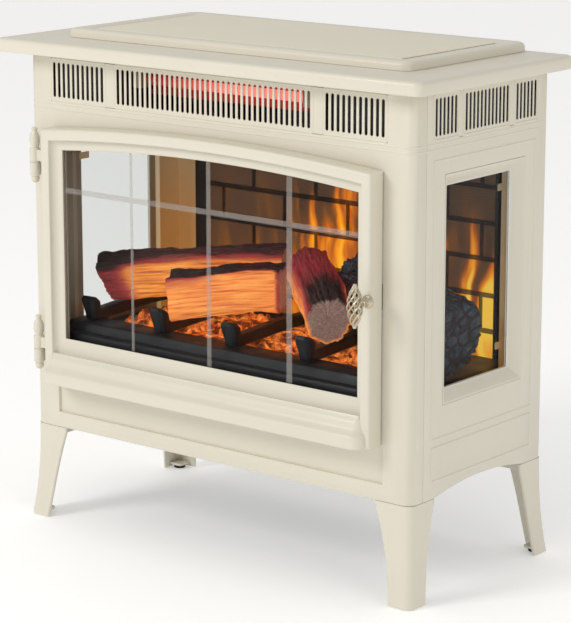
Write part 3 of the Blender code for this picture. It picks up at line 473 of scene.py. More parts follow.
def turned_into(bm, profile, centre, axis="z", steps=40):
    """A profile of (radius, along) points turned round a line through a centre; radius 0 closes an end."""
    turn = {"x": Matrix.Rotation(math.pi / 2, 3, "Y"), "y": Matrix.Rotation(-math.pi / 2, 3, "X"),
            "-y": Matrix.Rotation(math.pi / 2, 3, "X"), "z": Matrix.Identity(3)}[axis]
    rings = []
    for radius, along in profile:
        count = 1 if radius < 1e-6 else steps
        spots = [(radius * math.cos(2 * math.pi * k / steps), radius * math.sin(2 * math.pi * k / steps), along)
                 for k in range(count)]
        rings.append([bm.verts.new(turn @ Vector(spot) + Vector(centre)) for spot in spots])
    for first, second in zip(rings[:-1], rings[1:]):
        for i in range(steps):
            j = (i + 1) % steps
            corners = [first[i % len(first)], first[j % len(first)], second[j % len(second)], second[i % len(second)]]
            bm.faces.new(list(dict.fromkeys(corners)))


def hand_over(obj, body, slot, *stands_for):
    """Ride a finished piece on its body, and let it stand for plain solids. The slot argument is not used."""
    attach(obj, body)
    if stands_for:
        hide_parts(*stands_for)
    obj.data.calc_loop_triangles()
    print("%-26s %6d triangles" % (obj.name, len(obj.data.loop_triangles)))
    return obj


def dress(node, material):
    """Give a frame solid that stays visible its finish."""
    nodes[node].data.materials.clear()
    nodes[node].data.materials.append(material)


# %% [markdown]
# ## Growing what repeats
# Slots, screws, ribs, bricks and mouldings repeat, or follow a path. Copying them by hand would be slow to change,
# so each kind has a small Geometry Nodes tree. Bare points or bare edges say where things go, named inputs give the
# sizes, and the result is turned into a plain mesh. A tree's inputs are set before it runs, by the identifier of
# each socket.

# %% Geometry Nodes helpers
def node_tree(name, *inputs):
    """An empty geometry tree with a geometry socket at each end and the named inputs."""
    tree = bpy.data.node_groups.new(name, "GeometryNodeTree")
    tree.interface.new_socket("Geometry", in_out="INPUT", socket_type="NodeSocketGeometry")
    for label, kind, start in inputs:
        socket = tree.interface.new_socket(label, in_out="INPUT", socket_type="NodeSocket" + kind)
        if start is not None:
            socket.default_value = start
    tree.interface.new_socket("Geometry", in_out="OUTPUT", socket_type="NodeSocketGeometry")
    return tree, tree.nodes.new("NodeGroupInput").outputs, tree.nodes.new("NodeGroupOutput").inputs[0]


def close_tree(tree, geometry, material, leave):
    """Every tree ends the same way: real copies, then their finish."""
    real = add(tree, "GeometryNodeRealizeInstances", {"Geometry": geometry}).outputs[0]
    done = add(tree, "GeometryNodeSetMaterial", {"Geometry": real, "Material": material}).outputs[0]
    tree.links.new(done, leave)


def grown(name, tree, points, values, edges=(), attributes=None, sharp=35.0, turn=None):
    """Run a tree on bare points or edges, and keep the result as a plain mesh under a new name."""
    seed = bpy.data.meshes.new(name + "_seed")
    seed.from_pydata([tuple(p) for p in points], list(edges), [])
    for label, (kind, numbers) in (attributes or {}).items():
        layer = seed.attributes.new(label, kind, "POINT")
        layer.data.foreach_set("vector" if kind == "FLOAT_VECTOR" else "value", np.ravel(numbers))
    holder = bpy.data.objects.new(name + "_seed", seed)
    step = holder.modifiers.new("grow", "NODES")
    step.node_group = tree
    for item in tree.interface.items_tree:
        if item.in_out == "INPUT" and item.name in values:
            step[item.identifier] = values[item.name]
    scene.collection.objects.link(holder)
    seen = holder.evaluated_get(bpy.context.evaluated_depsgraph_get())
    mesh = bpy.data.meshes.new_from_object(seen)
    holder.modifiers.remove(step)
    bpy.data.objects.remove(holder)
    mesh.name = name
    if turn is not None:
        mesh.transform(turn)
    mesh.shade_smooth()
    mesh.set_sharp_from_angle(angle=math.radians(sharp))
    made = bpy.data.objects.new(name, mesh)
    scene.collection.objects.link(made)
    return made


# %% [markdown]
# The first tree is a punched plate. The points are the middles of the slots. A slot's outline is put on each, the
# plate's own outline is drawn round them, and filling the lot leaves the slots open. Then the sheet gets its
# thickness.

# %% Tree: punched plate
def punched_plate_tree():
    tree, given, leave = node_tree("punched_plate", ("Width", "Float", 0.1), ("Height", "Float", 0.05),
                                   ("Slot Width", "Float", 0.004), ("Slot Height", "Float", 0.04),
                                   ("Thickness", "Float", 0.002), ("Finish", "Material", None))
    slot_line = add(tree, "GeometryNodeCurvePrimitiveQuadrilateral",
                    {"Width": given["Slot Width"], "Height": given["Slot Height"]}).outputs[0]
    end_radius = sums(tree, "MULTIPLY", given["Slot Width"], 0.495)
    slot_line = add(tree, "GeometryNodeFilletCurve", {"Curve": slot_line, "Radius": end_radius, "Count": 5,
                                                      "Limit Radius": True}, mode="POLY").outputs[0]
    spots = add(tree, "GeometryNodeMeshToPoints", {"Mesh": given["Geometry"]}).outputs[0]
    slots = add(tree, "GeometryNodeInstanceOnPoints", {"Points": spots, "Instance": slot_line}).outputs[0]
    slots = add(tree, "GeometryNodeRealizeInstances", {"Geometry": slots}).outputs[0]
    edge = add(tree, "GeometryNodeCurvePrimitiveQuadrilateral",
               {"Width": given["Width"], "Height": given["Height"]}).outputs[0]
    both = add(tree, "GeometryNodeJoinGeometry")
    tree.links.new(slots, both.inputs[0])
    tree.links.new(edge, both.inputs[0])
    sheet = add(tree, "GeometryNodeFillCurve", {"Curve": both.outputs[0]}).outputs[0]
    raised = add(tree, "GeometryNodeExtrudeMesh", {"Mesh": sheet, "Offset Scale": given["Thickness"],
                                                   "Individual": False}).outputs[0]
    under = add(tree, "GeometryNodeFlipFaces", {"Mesh": sheet}).outputs[0]
    whole = add(tree, "GeometryNodeJoinGeometry")
    tree.links.new(raised, whole.inputs[0])
    tree.links.new(under, whole.inputs[0])
    closed = add(tree, "GeometryNodeMergeByDistance", {"Geometry": whole.outputs[0], "Distance": 0.00001}).outputs[0]
    close_tree(tree, closed, given["Finish"], leave)
    return tree


# %% [markdown]
# The second tree is a moulding: it rounds the corners of a path and runs a small round bead along it. The third
# puts a copy of one object on every point, with a turn and a size that the points carry, which does for screws and
# ribs.

# %% Trees: bead along a path, and copies on points
def bead_tree():
    tree, given, leave = node_tree("bead", ("Radius", "Float", 0.001), ("Corner", "Float", 0.002),
                                   ("Finish", "Material", None))
    line = add(tree, "GeometryNodeMeshToCurve", {"Mesh": given["Geometry"]}).outputs[0]
    line = add(tree, "GeometryNodeFilletCurve", {"Curve": line, "Radius": given["Corner"], "Count": 6,
                                                 "Limit Radius": True}, mode="POLY").outputs[0]
    ring = add(tree, "GeometryNodeCurvePrimitiveCircle", {"Resolution": 12, "Radius": given["Radius"]}).outputs[0]
    solid = add(tree, "GeometryNodeCurveToMesh", {"Curve": line, "Profile Curve": ring, "Fill Caps": True}).outputs[0]
    close_tree(tree, solid, given["Finish"], leave)
    return tree


def copies_tree():
    tree, given, leave = node_tree("copies", ("Pattern", "Object", None), ("Finish", "Material", None))
    shape = add(tree, "GeometryNodeObjectInfo", {"Object": given["Pattern"]}).outputs["Geometry"]
    spots = add(tree, "GeometryNodeMeshToPoints", {"Mesh": given["Geometry"]}).outputs[0]
    turn = add(tree, "GeometryNodeInputNamedAttribute", {"Name": "turn"}, data_type="FLOAT_VECTOR").outputs[0]
    size = add(tree, "GeometryNodeInputNamedAttribute", {"Name": "size"}, data_type="FLOAT_VECTOR").outputs[0]
    made = add(tree, "GeometryNodeInstanceOnPoints", {"Points": spots, "Instance": shape, "Rotation": turn,
                                                      "Scale": size}).outputs[0]
    close_tree(tree, made, given["Finish"], leave)
    return tree


punched_plate, bead, copies = punched_plate_tree(), bead_tree(), copies_tree()


def copied(name, pattern, points, material, turns=None, sizes=None, sharp=35.0):
    """The pattern object on every point; turns in radians and sizes are one triple for each point."""
    count = len(points)
    marks = {"turn": ("FLOAT_VECTOR", turns if turns is not None else [(0, 0, 0)] * count),
             "size": ("FLOAT_VECTOR", sizes if sizes is not None else [(1, 1, 1)] * count)}
    return grown(name, copies, points, {"Pattern": pattern, "Finish": material}, (), marks, sharp)


def beaded(name, paths, radius, corner, material, closed=True):
    """One bead along each path; a closed path runs back to its start."""
    points, edges = [], []
    for path in paths:
        first, count = len(points), len(path)
        points += path
        edges += [(first + i, first + i + 1) for i in range(count - 1)]
        if closed:
            edges.append((first + count - 1, first))
    return grown(name, bead, points, {"Radius": radius, "Corner": corner, "Finish": material}, edges, sharp=60.0)


print("trees:", [t.name for t in bpy.data.node_groups])

# %% [markdown]
# ## The top
# The mantel is a slab with a soft upper edge and a small one below. Under it is a recess over the cabinet, so it is
# one loft that starts inside the recess, comes down and round the slab, and ends on the upper face. The raised
# panel on it has a rolled rim round a field that lies a little lower.

# %% Mantel and raised panel
def box_of(*names):
    """The box round several frame nodes, as low and high corners."""
    lows, highs = zip(*(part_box(name) for name in names))
    return (Vector([min(c) for c in zip(*lows)]), Vector([max(c) for c in zip(*highs)]))


top_low, top_high = box_of("mantel_top")
cabinet_low, cabinet_high = box_of("cabinet_front", "side_panel_left", "side_panel_right")


def build_mantel():
    roll, lower_roll, corner, recess = 0.0048, 0.0014, 0.010, 0.016
    levels = [(None, top_high.z - 0.0025), (None, top_low.z)]
    for angle in range(0, 91, 30):
        swing = math.radians(angle)
        levels.append((lower_roll * (1 - math.sin(swing)), top_low.z + lower_roll * (1 - math.cos(swing))))
    for angle in range(0, 91, 15):
        swing = math.radians(angle)
        levels.append((roll * (1 - math.cos(swing)), top_high.z - roll * (1 - math.sin(swing))))
    loops = []
    for inset, z in levels:
        if inset is None:
            outline = rounded(cabinet_low.x + recess, cabinet_high.x - recess, cabinet_low.y + recess,
                              cabinet_high.y - recess, 0.004)
        else:
            outline = rounded(top_low.x + inset, top_high.x - inset, top_low.y + inset, top_high.y - inset,
                              corner - inset * 0.6)
        loops.append([(x, y, z) for x, y in outline])
    return hand_over(lofted("mantel_slab", loops, cream_enamel, sharp=50), "cabinet", "cream_paint", "mantel_top")


rim_low, rim_high = box_of("top_grille_panel")
RIM_WIDTH = 0.021
FIELD_Z = rim_high.z - 0.0019


def build_raised_panel():
    roll = 0.0052
    levels = [(0.0, rim_low.z), (0.0004, rim_high.z - roll)]
    for angle in range(15, 91, 15):
        swing = math.radians(angle)
        levels.append((0.0004 + roll * (1 - math.cos(swing)), rim_high.z - roll * (1 - math.sin(swing))))
    levels += [(RIM_WIDTH - 0.0040, rim_high.z), (RIM_WIDTH - 0.0026, rim_high.z - 0.0003),
               (RIM_WIDTH - 0.0006, FIELD_Z + 0.0003), (RIM_WIDTH + 0.0006, FIELD_Z)]
    loops = []
    for inset, z in levels:
        outline = rounded(rim_low.x + inset, rim_high.x - inset, rim_low.y + inset, rim_high.y - inset,
                          max(0.003, 0.014 - inset * 0.5))
        loops.append([(x, y, z) for x, y in outline])
    return hand_over(lofted("raised_panel", loops, cream_enamel, sharp=60), "cabinet", "cream_paint",
                     "top_grille_panel")


build_mantel()
build_raised_panel()

# %% [markdown]
# The field is ribbed from end to end. One rib is modelled as a bar with a round back, and the copies tree repeats
# it across the field at an even pitch.

# %% Ribs in the field
def bar_pattern(name, half_length, half_width, rise, steps=6):
    """A low round-backed bar along X, lying on z 0 and sunk a little below it."""
    outline = [(half_width * math.cos(math.pi * k / steps), rise * math.sin(math.pi * k / steps))
               for k in range(steps + 1)] + [(-half_width, -0.0003), (half_width, -0.0003)]
    bm = bmesh.new()
    prism_into(bm, "x", outline, -half_length, half_length)
    made = from_bmesh(name, bm, cream_enamel, 50)
    scene.collection.objects.unlink(made)
    return made


rib_pitch = 0.0046
rib_margin = RIM_WIDTH + 0.0075
first_rib, last_rib = rim_low.y + rib_margin, rim_high.y - rib_margin
rib_count = round((last_rib - first_rib) / rib_pitch) + 1
rib_places = [(0.0, first_rib + (last_rib - first_rib) * k / (rib_count - 1), FIELD_Z) for k in range(rib_count)]
rib = bar_pattern("rib_pattern", rim_high.x - rib_margin, 0.0016, 0.0015)
rib_enamel = skin("rib_enamel", CREAM, 0.015, (0.55, 0.66), 620.0, 0.00008)
# The plate under the ribs gets a darker cream: painted shade in the grooves between them.
groove_shade = skin("groove_shade", tone(132, 126, 110), 0.03, (0.5, 0.6), 620.0, 0.0001)
floor_bm = bmesh.new()
groove_outline = rounded(rim_low.x + rib_margin, rim_high.x - rib_margin,
                         first_rib - 0.0015, last_rib + 0.0015, 0.001, 2)
prism_into(floor_bm, "z", groove_outline, FIELD_Z - 0.0004, FIELD_Z + 0.0002)
hand_over(from_bmesh("groove_floor", floor_bm, groove_shade), "cabinet", "cream_paint")
hand_over(copied("field_ribs", rib, rib_places, rib_enamel, sharp=50), "cabinet", "cream_paint")
print("ribs:", rib_count)

# %% [markdown]
# ## The cabinet shell
# The front is one folded sheet with round corners, pressed in below the door, and each side is another, with a hole
# for its window. The frame already has their exact folds and cut-outs as plain solids. A merged copy keeps every
# size, its flat faces are made whole again, and a very small bevel gives each cut edge the roundness that paint
# has.

# %% Sheets made from the frame's own solids
def refined(name, node, material, bevel=0.0005, sharp=35.0):
    """A merged copy of a frame solid with whole faces and softened edges."""
    bm = bmesh.new()
    bm.from_mesh(nodes[node].data)
    bmesh.ops.remove_doubles(bm, verts=bm.verts, dist=0.000004)
    bmesh.ops.dissolve_limit(bm, angle_limit=math.radians(0.5), verts=bm.verts, edges=bm.edges)
    mesh = bpy.data.meshes.new(name)
    bm.to_mesh(mesh)
    bm.free()
    mesh.shade_smooth()
    mesh.materials.clear()
    mesh.materials.append(material)
    made = bpy.data.objects.new(name, mesh)
    scene.collection.objects.link(made)
    if bevel:
        soften = made.modifiers.new("soft_edges", "BEVEL")
        soften.width = bevel
        soften.segments = 2
        soften.limit_method = "ANGLE"
        soften.angle_limit = math.radians(sharp)
        soften.harden_normals = True
    else:
        mesh.set_sharp_from_angle(angle=math.radians(sharp))
    return made


for sheet_name, node in (("front_sheet", "cabinet_front"), ("left_sheet", "side_panel_left"),
                         ("right_sheet", "side_panel_right")):
    hand_over(refined(sheet_name, node, cream_enamel), "cabinet", "cream_paint", node)

# %% [markdown]
# ## Punched grilles
# Warm air leaves through upright slots with round ends, in three groups on the front and three on each side. The
# middles of the slots are worked out from the group's middle, the pitch and the count, and the punched plate tree
# does the rest.

# %% Front and side grilles
SLOT_WIDTH, SLOT_LOW, SLOT_HIGH, PLATE = 0.0042, 0.5108, 0.5512, 0.0008
FRONT_GROUPS, FRONT_PITCH = ((-0.1998, 11), (0.0, 38), (0.1998, 11)), 0.00745
SIDE_GROUPS, SIDE_PITCH = ((-0.0458, 6), (0.0300, 12), (0.1053, 6)), 0.0070


def punched(name, node, groups, pitch, middle, turn):
    """A plate over one frame grille, with its slots in groups; middle is the plate's own middle along its length."""
    low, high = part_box(node)
    size = high - low
    height_middle = (low.z + high.z) / 2
    slots = [(centre + (i - (count - 1) / 2) * pitch - middle, (SLOT_LOW + SLOT_HIGH) / 2 - height_middle, 0)
             for centre, count in groups for i in range(count)]
    values = {"Width": max(size.x, size.y), "Height": size.z, "Slot Width": SLOT_WIDTH,
              "Slot Height": SLOT_HIGH - SLOT_LOW, "Thickness": PLATE, "Finish": cream_enamel}
    made = grown(name, punched_plate, slots, values, turn=turn)
    return hand_over(made, "cabinet", "cream_paint", node)


stand_up = Matrix.Rotation(math.pi / 2, 4, "X")
front_low, front_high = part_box("front_grille")
grille_z = (front_low.z + front_high.z) / 2
punched("front_slots", "front_grille", FRONT_GROUPS, FRONT_PITCH, 0.0,
        Matrix.Translation((0, front_low.y + PLATE, grille_z)) @ stand_up)
for side, label in ((1, "right"), (-1, "left")):
    low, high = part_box("side_grille_" + label)
    middle = (low.y + high.y) / 2
    outside = high.x if side > 0 else low.x
    place = Matrix.Translation((outside - side * PLATE, middle, grille_z))
    turn = place @ Matrix.Rotation(side * math.pi / 2, 4, "Z") @ stand_up
    groups = [(middle + side * (centre - middle), count) for centre, count in SIDE_GROUPS]
    punched("side_slots_" + label, "side_grille_" + label, groups, SIDE_PITCH, middle, turn)

# %% [markdown]
# ## Pressed mouldings
# Fine raised lines frame each group of slots, the side panels and the band below the grilles. On the real sheet
# they are pressed from behind. Here each is a bead, sunk so far into the sheet that only a low round back shows.

# %% Beads on the sheets
BEAD, STAND = 0.0018, 0.0008


def group_spans(groups, pitch, margin):
    """The start and end of each slot group, with a margin."""
    return [(centre - (count - 1) / 2 * pitch - margin, centre + (count - 1) / 2 * pitch + margin)
            for centre, count in groups]


front_y = cabinet_low.y + BEAD - STAND
frames = []
for a, b in group_spans(FRONT_GROUPS, FRONT_PITCH, 0.0058):
    frames.append([(a, front_y, SLOT_LOW - 0.0042), (b, front_y, SLOT_LOW - 0.0042),
                   (b, front_y, SLOT_HIGH + 0.0042), (a, front_y, SLOT_HIGH + 0.0042)])
hand_over(beaded("front_slot_frames", frames, BEAD * 0.8, 0.003, cream_enamel), "cabinet", "cream_paint")

BAND_Z = (0.4968, 0.5030)
corner_r = 0.012
bands = []
for z in BAND_Z:
    reach = cabinet_high.x - BEAD + STAND
    bands.append([(-reach, 0.1400, z), (-reach, front_y, z), (reach, front_y, z), (reach, 0.1400, z)])
hand_over(beaded("waist_bands", bands, BEAD * 0.8, corner_r - BEAD, cream_enamel, closed=False), "cabinet",
          "cream_paint")

for side, label in ((1, "right"), (-1, "left")):
    x = side * (cabinet_high.x - BEAD + STAND)
    paths = []
    for a, b in group_spans(SIDE_GROUPS, SIDE_PITCH, 0.0055):
        paths.append([(x, a, SLOT_LOW - 0.0042), (x, b, SLOT_LOW - 0.0042), (x, b, SLOT_HIGH + 0.0042),
                      (x, a, SLOT_HIGH + 0.0042)])
    for y0, y1, z0, z1 in ((-0.0660, 0.1250, 0.1805, 0.4845), (-0.0655, 0.1255, 0.1337, 0.1710)):
        paths.append([(x, y0, z0), (x, y1, z0), (x, y1, z1), (x, y0, z1)])
    hand_over(beaded("side_mouldings_" + label, paths, BEAD, 0.002, cream_enamel), "cabinet", "cream_paint")

# %% [markdown]
# ## Side windows
# Each window sits in a sloped, picture-frame recess. The slope is a loft of four-sided rings from the sheet to the
# pane, with round corners that get tighter towards the glass. A thin bright bead holds the pane.

# %% Window recesses, panes and retaining beads
for side, label in ((1, "right"), (-1, "left")):
    frame_low, frame_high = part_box("side_window_frame_" + label)
    pane_low, pane_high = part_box("side_glass_" + label)
    outside = frame_high.x if side > 0 else frame_low.x
    depth = frame_high.x - frame_low.x
    slope = 0.0147

    def window_ring(inset, back, radius):
        outline = rounded(frame_low.y + inset, frame_high.y - inset, frame_low.z + inset, frame_high.z - inset,
                          radius, 5)
        return [(outside - side * back, y, z) for y, z in outline]

    loops = [window_ring(0.0, 0.0, 0.0006), window_ring(0.0018, 0.0, 0.0008), window_ring(0.0026, 0.0005, 0.0010),
             window_ring(slope - 0.0030, depth - 0.0050, 0.0020), window_ring(slope - 0.0016, depth - 0.0036, 0.0024),
             window_ring(slope - 0.0004, depth - 0.0033, 0.0026), window_ring(slope, depth - 0.0028, 0.0028),
             window_ring(slope, depth, 0.0028), window_ring(0.0, depth, 0.0006)]
    hand_over(lofted("window_recess_" + label, loops, cream_enamel, closed=True, sharp=40), "cabinet", "cream_paint",
              "side_window_frame_" + label)
    pane = [[(x, y, z) for y, z in rounded(pane_low.y, pane_high.y, pane_low.z, pane_high.z, 0.002, 3)]
            for x in (pane_low.x, pane_high.x)]
    hand_over(lofted("window_pane_" + label, pane, pane_glass), "cabinet", "glass", "side_glass_" + label)
    lip = slope - 0.0004
    x = outside - side * (depth - 0.0026)
    path = [(x, frame_low.y + lip, frame_low.z + lip), (x, frame_high.y - lip, frame_low.z + lip),
            (x, frame_high.y - lip, frame_high.z - lip), (x, frame_low.y + lip, frame_high.z - lip)]
    hand_over(beaded("window_bead_" + label, [path], 0.0008, 0.003, bright_aluminium), "cabinet", "aluminium")

# %% [markdown]
# ## Legs
# A leg is an open angle of steel, wide where it meets the cabinet and narrower below, and it splays outwards as it
# goes down. Both follow a simple rule of height, so the leg is a loft of many thin sections. A block bolts it
# inside the cabinet, and a small plate sits over the foot pad.

# %% Splayed legs
LEG_WALL, FOOT_WIDTH = 0.0035, 0.030
SPLAY = (0.0069, 0.0085)
LEG_TOP_WIDTH = (0.048, 0.045)


def leg_section(corner, sign, share):
    """One open angle section; share is 0 at the cabinet and 1 at the floor, corner is the cabinet's edge."""
    taper = min(1.0, (1.0 - share) ** 2.4 + 0.10 * (1.0 - share))
    edge = [c + s * share ** 2.2 for c, s in zip(corner, SPLAY)]
    wide = [FOOT_WIDTH + (top - FOOT_WIDTH) * taper for top in LEG_TOP_WIDTH]
    round_r, lip = 0.010, 0.0010
    centre = (edge[0] - round_r, edge[1] - round_r)
    points = [(edge[0] - lip, edge[1] - wide[1]), (edge[0], edge[1] - wide[1] + lip)]
    points += arc(centre, round_r, 0, 90, 8)
    points += [(edge[0] - wide[0] + lip, edge[1]), (edge[0] - wide[0], edge[1] - lip),
               (edge[0] - wide[0], edge[1] - LEG_WALL)]
    points += arc(centre, round_r - LEG_WALL, 90, 0, 8)
    points.append((edge[0] - LEG_WALL, edge[1] - wide[1]))
    return [(sign[0] * a, sign[1] * b) for a, b in points]


def build_leg(name, sign):
    node = "leg_" + name
    pad_low, pad_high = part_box("foot_pad_" + name)
    top_z, foot_z = cabinet_low.z - 0.0003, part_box(node)[0].z
    corner = (cabinet_high.x, cabinet_high.y if sign[1] > 0 else -cabinet_low.y)
    bm = bmesh.new()
    levels = 26
    loops = []
    for k in range(levels + 1):
        share = 1.0 - k / levels
        z = foot_z + (top_z - foot_z) * (1.0 - share)
        loops.append([(x, y, z) for x, y in leg_section(corner, sign, share)])
    skin_loops(bm, loops)
    middle = (pad_low + pad_high) / 2
    outline = rounded(middle.x - 0.0098, middle.x + 0.0098, middle.y - 0.0098, middle.y + 0.0098, 0.003, 4)
    prism_into(bm, "z", outline, pad_high.z + 0.0002, pad_high.z + 0.0030)
    block = [(corner[0] - 0.0370, corner[1] - 0.0370), (corner[0] - 0.0030, corner[1] - 0.0370),
             (corner[0] - 0.0030, corner[1] - 0.0130), (corner[0] - 0.0130, corner[1] - 0.0070),
             (corner[0] - 0.0370, corner[1] - 0.0070)]
    prism_into(bm, "z", [(sign[0] * a, sign[1] * b) for a, b in block], top_z - 0.010, top_z + 0.0105)
    return hand_over(from_bmesh("splayed_leg_" + name, bm, cream_enamel, 40), "cabinet", "cream_paint", node)


for depth_label, sign_y in (("front", -1), ("rear", 1)):
    for width_label, sign_x in (("left", -1), ("right", 1)):
        build_leg(depth_label + "_" + width_label, (sign_x, sign_y))

# %% [markdown]
# ## The door
# The door is one cast frame with an arched head. Its section runs from a rolled outer edge over a flat face, down a
# hollow curve, or cove, to the glass. Both the outer and the inner outline are four-cornered with an arched top and
# have the same number of points, so each ring of the section is a mix of the two. That gives true mitres at all
# four corners.

# %% Door frame
door_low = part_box("door_frame")[0]
DOOR_LEFT, DOOR_RIGHT, DOOR_BOTTOM = -0.240, 0.2385, 0.1765
DOOR_CORNER, DOOR_RISE, DOOR_FACE, DOOR_REAR = 0.4755, 0.0115, -0.126, -0.104
GLASS_HALF, GLASS_BOTTOM, GLASS_CORNER, GLASS_RISE, GLASS_Y = 0.215, 0.2285, 0.4520, 0.0105, -0.1117


def arched(left, right, bottom, corner_z, rise, steps=36, side_steps=6):
    """An upright outline whose top is a shallow arc; the straight sides have points too, so that mixes stay even."""
    half = (right - left) / 2
    radius = (half * half + rise * rise) / (2 * rise)
    swing = math.degrees(math.asin(half / radius))
    top = arc(((left + right) / 2, corner_z + rise - radius), radius, 90 - swing, 90 + swing, steps)
    foot = [(left + (right - left) * k / side_steps, bottom) for k in range(side_steps + 1)]
    up = [(right, bottom + (corner_z - bottom) * k / side_steps) for k in range(1, side_steps)]
    down = [(left, corner_z + (bottom - corner_z) * k / side_steps) for k in range(1, side_steps)]
    return foot + up + top + down


def build_door_frame():
    outer = arched(DOOR_LEFT, DOOR_RIGHT, DOOR_BOTTOM, DOOR_CORNER, DOOR_RISE)
    inner = arched(-GLASS_HALF, GLASS_HALF, GLASS_BOTTOM, GLASS_CORNER, GLASS_RISE)
    edge_r, face, glass = 0.0030, DOOR_FACE, GLASS_Y - 0.0023
    section = [(0.0, DOOR_REAR), (0.0, face + edge_r)]
    for angle in (22, 45, 68, 90):
        swing = math.radians(angle)
        section.append(((edge_r * (1 - math.cos(swing))) / 0.024, face + edge_r * (1 - math.sin(swing))))
    section += [(0.46, face), (0.50, face + 0.0003)]
    for angle in range(0, 91, 15):
        swing = math.radians(angle)
        section.append((0.52 + 0.40 * (1 - math.cos(swing)), face + 0.0009 + 0.0090 * math.sin(swing) ** 1.2))
    section += [(0.95, face + 0.0101), (1.0, face + 0.0110), (1.0, glass), (0.70, glass), (0.70, DOOR_REAR)]
    loops = []
    for share, y in section:
        loops.append([(a[0] + (b[0] - a[0]) * share, y, a[1] + (b[1] - a[1]) * share) for a, b in zip(outer, inner)])
    return hand_over(lofted("cast_door_frame", loops, cream_enamel, closed=True, sharp=38), "door", "cream_paint",
                     "door_frame")


build_door_frame()

# %% [markdown]
# The sill along the foot of the door steps out in two ledges, and its ends are rounded in plan. Each level of the
# loft is the plan outline of the sill at one height, so the steps and the round ends come out of the same rule.

# %% Door sill
def build_sill():
    half, root, nose = 0.2345, DOOR_FACE + 0.004, door_low.y
    levels = [(0.1767, nose + 0.0012), (0.1775, nose + 0.0003), (0.1787, nose), (0.1892, nose),
              (0.1908, nose + 0.0004), (0.1922, nose + 0.0016), (0.1948, nose + 0.0042),
              (0.1972, nose + 0.0063), (0.1990, nose + 0.0074), (0.2002, nose + 0.0076),
              (0.2040, nose + 0.0083), (0.2062, nose + 0.0094), (0.2084, nose + 0.0112),
              (0.2106, nose + 0.0130), (0.2118, nose + 0.0135)]
    loops = []
    for z, front in levels:
        depth = root - front
        radius = min(0.012, depth - 0.0006)
        shrink = (front - nose) * 0.55
        left, right = -half + shrink, half - 0.0015 - shrink
        outline = [(left, root)] + arc((left + radius, front + radius), radius, 180, 270, 8)
        outline += arc((right - radius, front + radius), radius, 270, 360, 8) + [(right, root)]
        loops.append([(x, y, z) for x, y in outline])
    return hand_over(lofted("door_sill", loops, cream_enamel, sharp=45), "door", "cream_paint")


build_sill()

# %% [markdown]
# ## Door glass
# The pane is flat, with its decorative lines ground into the front: three upright and one level, each with two
# sloping sides that meet in a low ridge. Each line is its own thin strip on the pane, so it can have the
# ground-glass finish.

# %% Pane and ground lines
PANE_FRONT, PANE_BACK = GLASS_Y, GLASS_Y + 0.004


def build_door_pane():
    grow = 0.0064
    outline = arched(-GLASS_HALF - grow, GLASS_HALF + grow, GLASS_BOTTOM - grow, GLASS_CORNER + grow * 0.85,
                     GLASS_RISE)
    loops = [[(x, y, z) for x, z in outline] for y in (PANE_FRONT, PANE_BACK)]
    return hand_over(lofted("door_pane", loops, pane_glass), "door", "glass", "door_glass")


build_door_pane()


def glass_top(x):
    """Height of the opening's arched edge at x."""
    radius = (GLASS_HALF ** 2 + GLASS_RISE ** 2) / (2 * GLASS_RISE)
    return GLASS_CORNER + GLASS_RISE - radius + math.sqrt(radius ** 2 - x ** 2)


def ground_line(bm, start, end, width):
    """A strip with a low ridge between two points of the pane, given as (x, z)."""
    along = Vector((end[0] - start[0], 0, end[1] - start[1])).normalized()
    aside = Vector((-along.z, 0, along.x)) * (width / 2)
    ridge = Vector((0, -0.0006, 0))
    loops = []
    for x, z in (start, end):
        middle = Vector((x, PANE_FRONT - 0.0001, z))
        loops.append([middle - aside, middle + ridge - aside * 0.12, middle + ridge + aside * 0.12, middle + aside])
    skin_loops(bm, loops)


bm = bmesh.new()
level_z = 0.4050
for x, width in ((-0.1110, 0.0042), (0.0040, 0.0062), (0.1190, 0.0078)):
    ground_line(bm, (x, GLASS_BOTTOM), (x, level_z - 0.0034), width)
    ground_line(bm, (x, level_z + 0.0034), (x, glass_top(x)), width)
ground_line(bm, (-GLASS_HALF, level_z), (GLASS_HALF, level_z), 0.0064)
hand_over(from_bmesh("ground_lines", bm, ground_glass, 5), "door", "glass")

# %% [markdown]
# ## Hinges
# Each hinge is a pair of turned knuckles with pointed ends, one on the door and one on the cabinet, with the pin
# between. The profile is turned round the hinge line, and a small leaf joins each knuckle to its sheet.

# %% Hinge knuckles
hinge_x, hinge_y = -0.258, -0.116
door_knuckle = [(0, 0.0150), (0.0033, 0.0150), (0.0033, 0.0003), (0.0058, 0.0003), (0.0062, 0.0008), (0.0062, 0.0152),
                (0.0058, 0.0160), (0.0050, 0.0166), (0.0050, 0.0178), (0.0056, 0.0200), (0.0062, 0.0228),
                (0.0064, 0.0255), (0.0062, 0.0282), (0.0056, 0.0310), (0.0046, 0.0334), (0.0036, 0.0350),
                (0.0030, 0.0365), (0.0036, 0.0378), (0.0038, 0.0390), (0.0030, 0.0402), (0.0016, 0.0408), (0, 0.0410)]
body_knuckle = [(0, -0.0250), (0.0014, -0.0249), (0.0030, -0.0242), (0.0044, -0.0228), (0.0050, -0.0208),
                (0.0050, -0.0185), (0.0044, -0.0170), (0.0056, -0.0162), (0.0062, -0.0154), (0.0062, -0.0006),
                (0.0058, 0.0), (0.0030, 0.0), (0.0030, 0.0132), (0.0022, 0.0142), (0, 0.0142)]
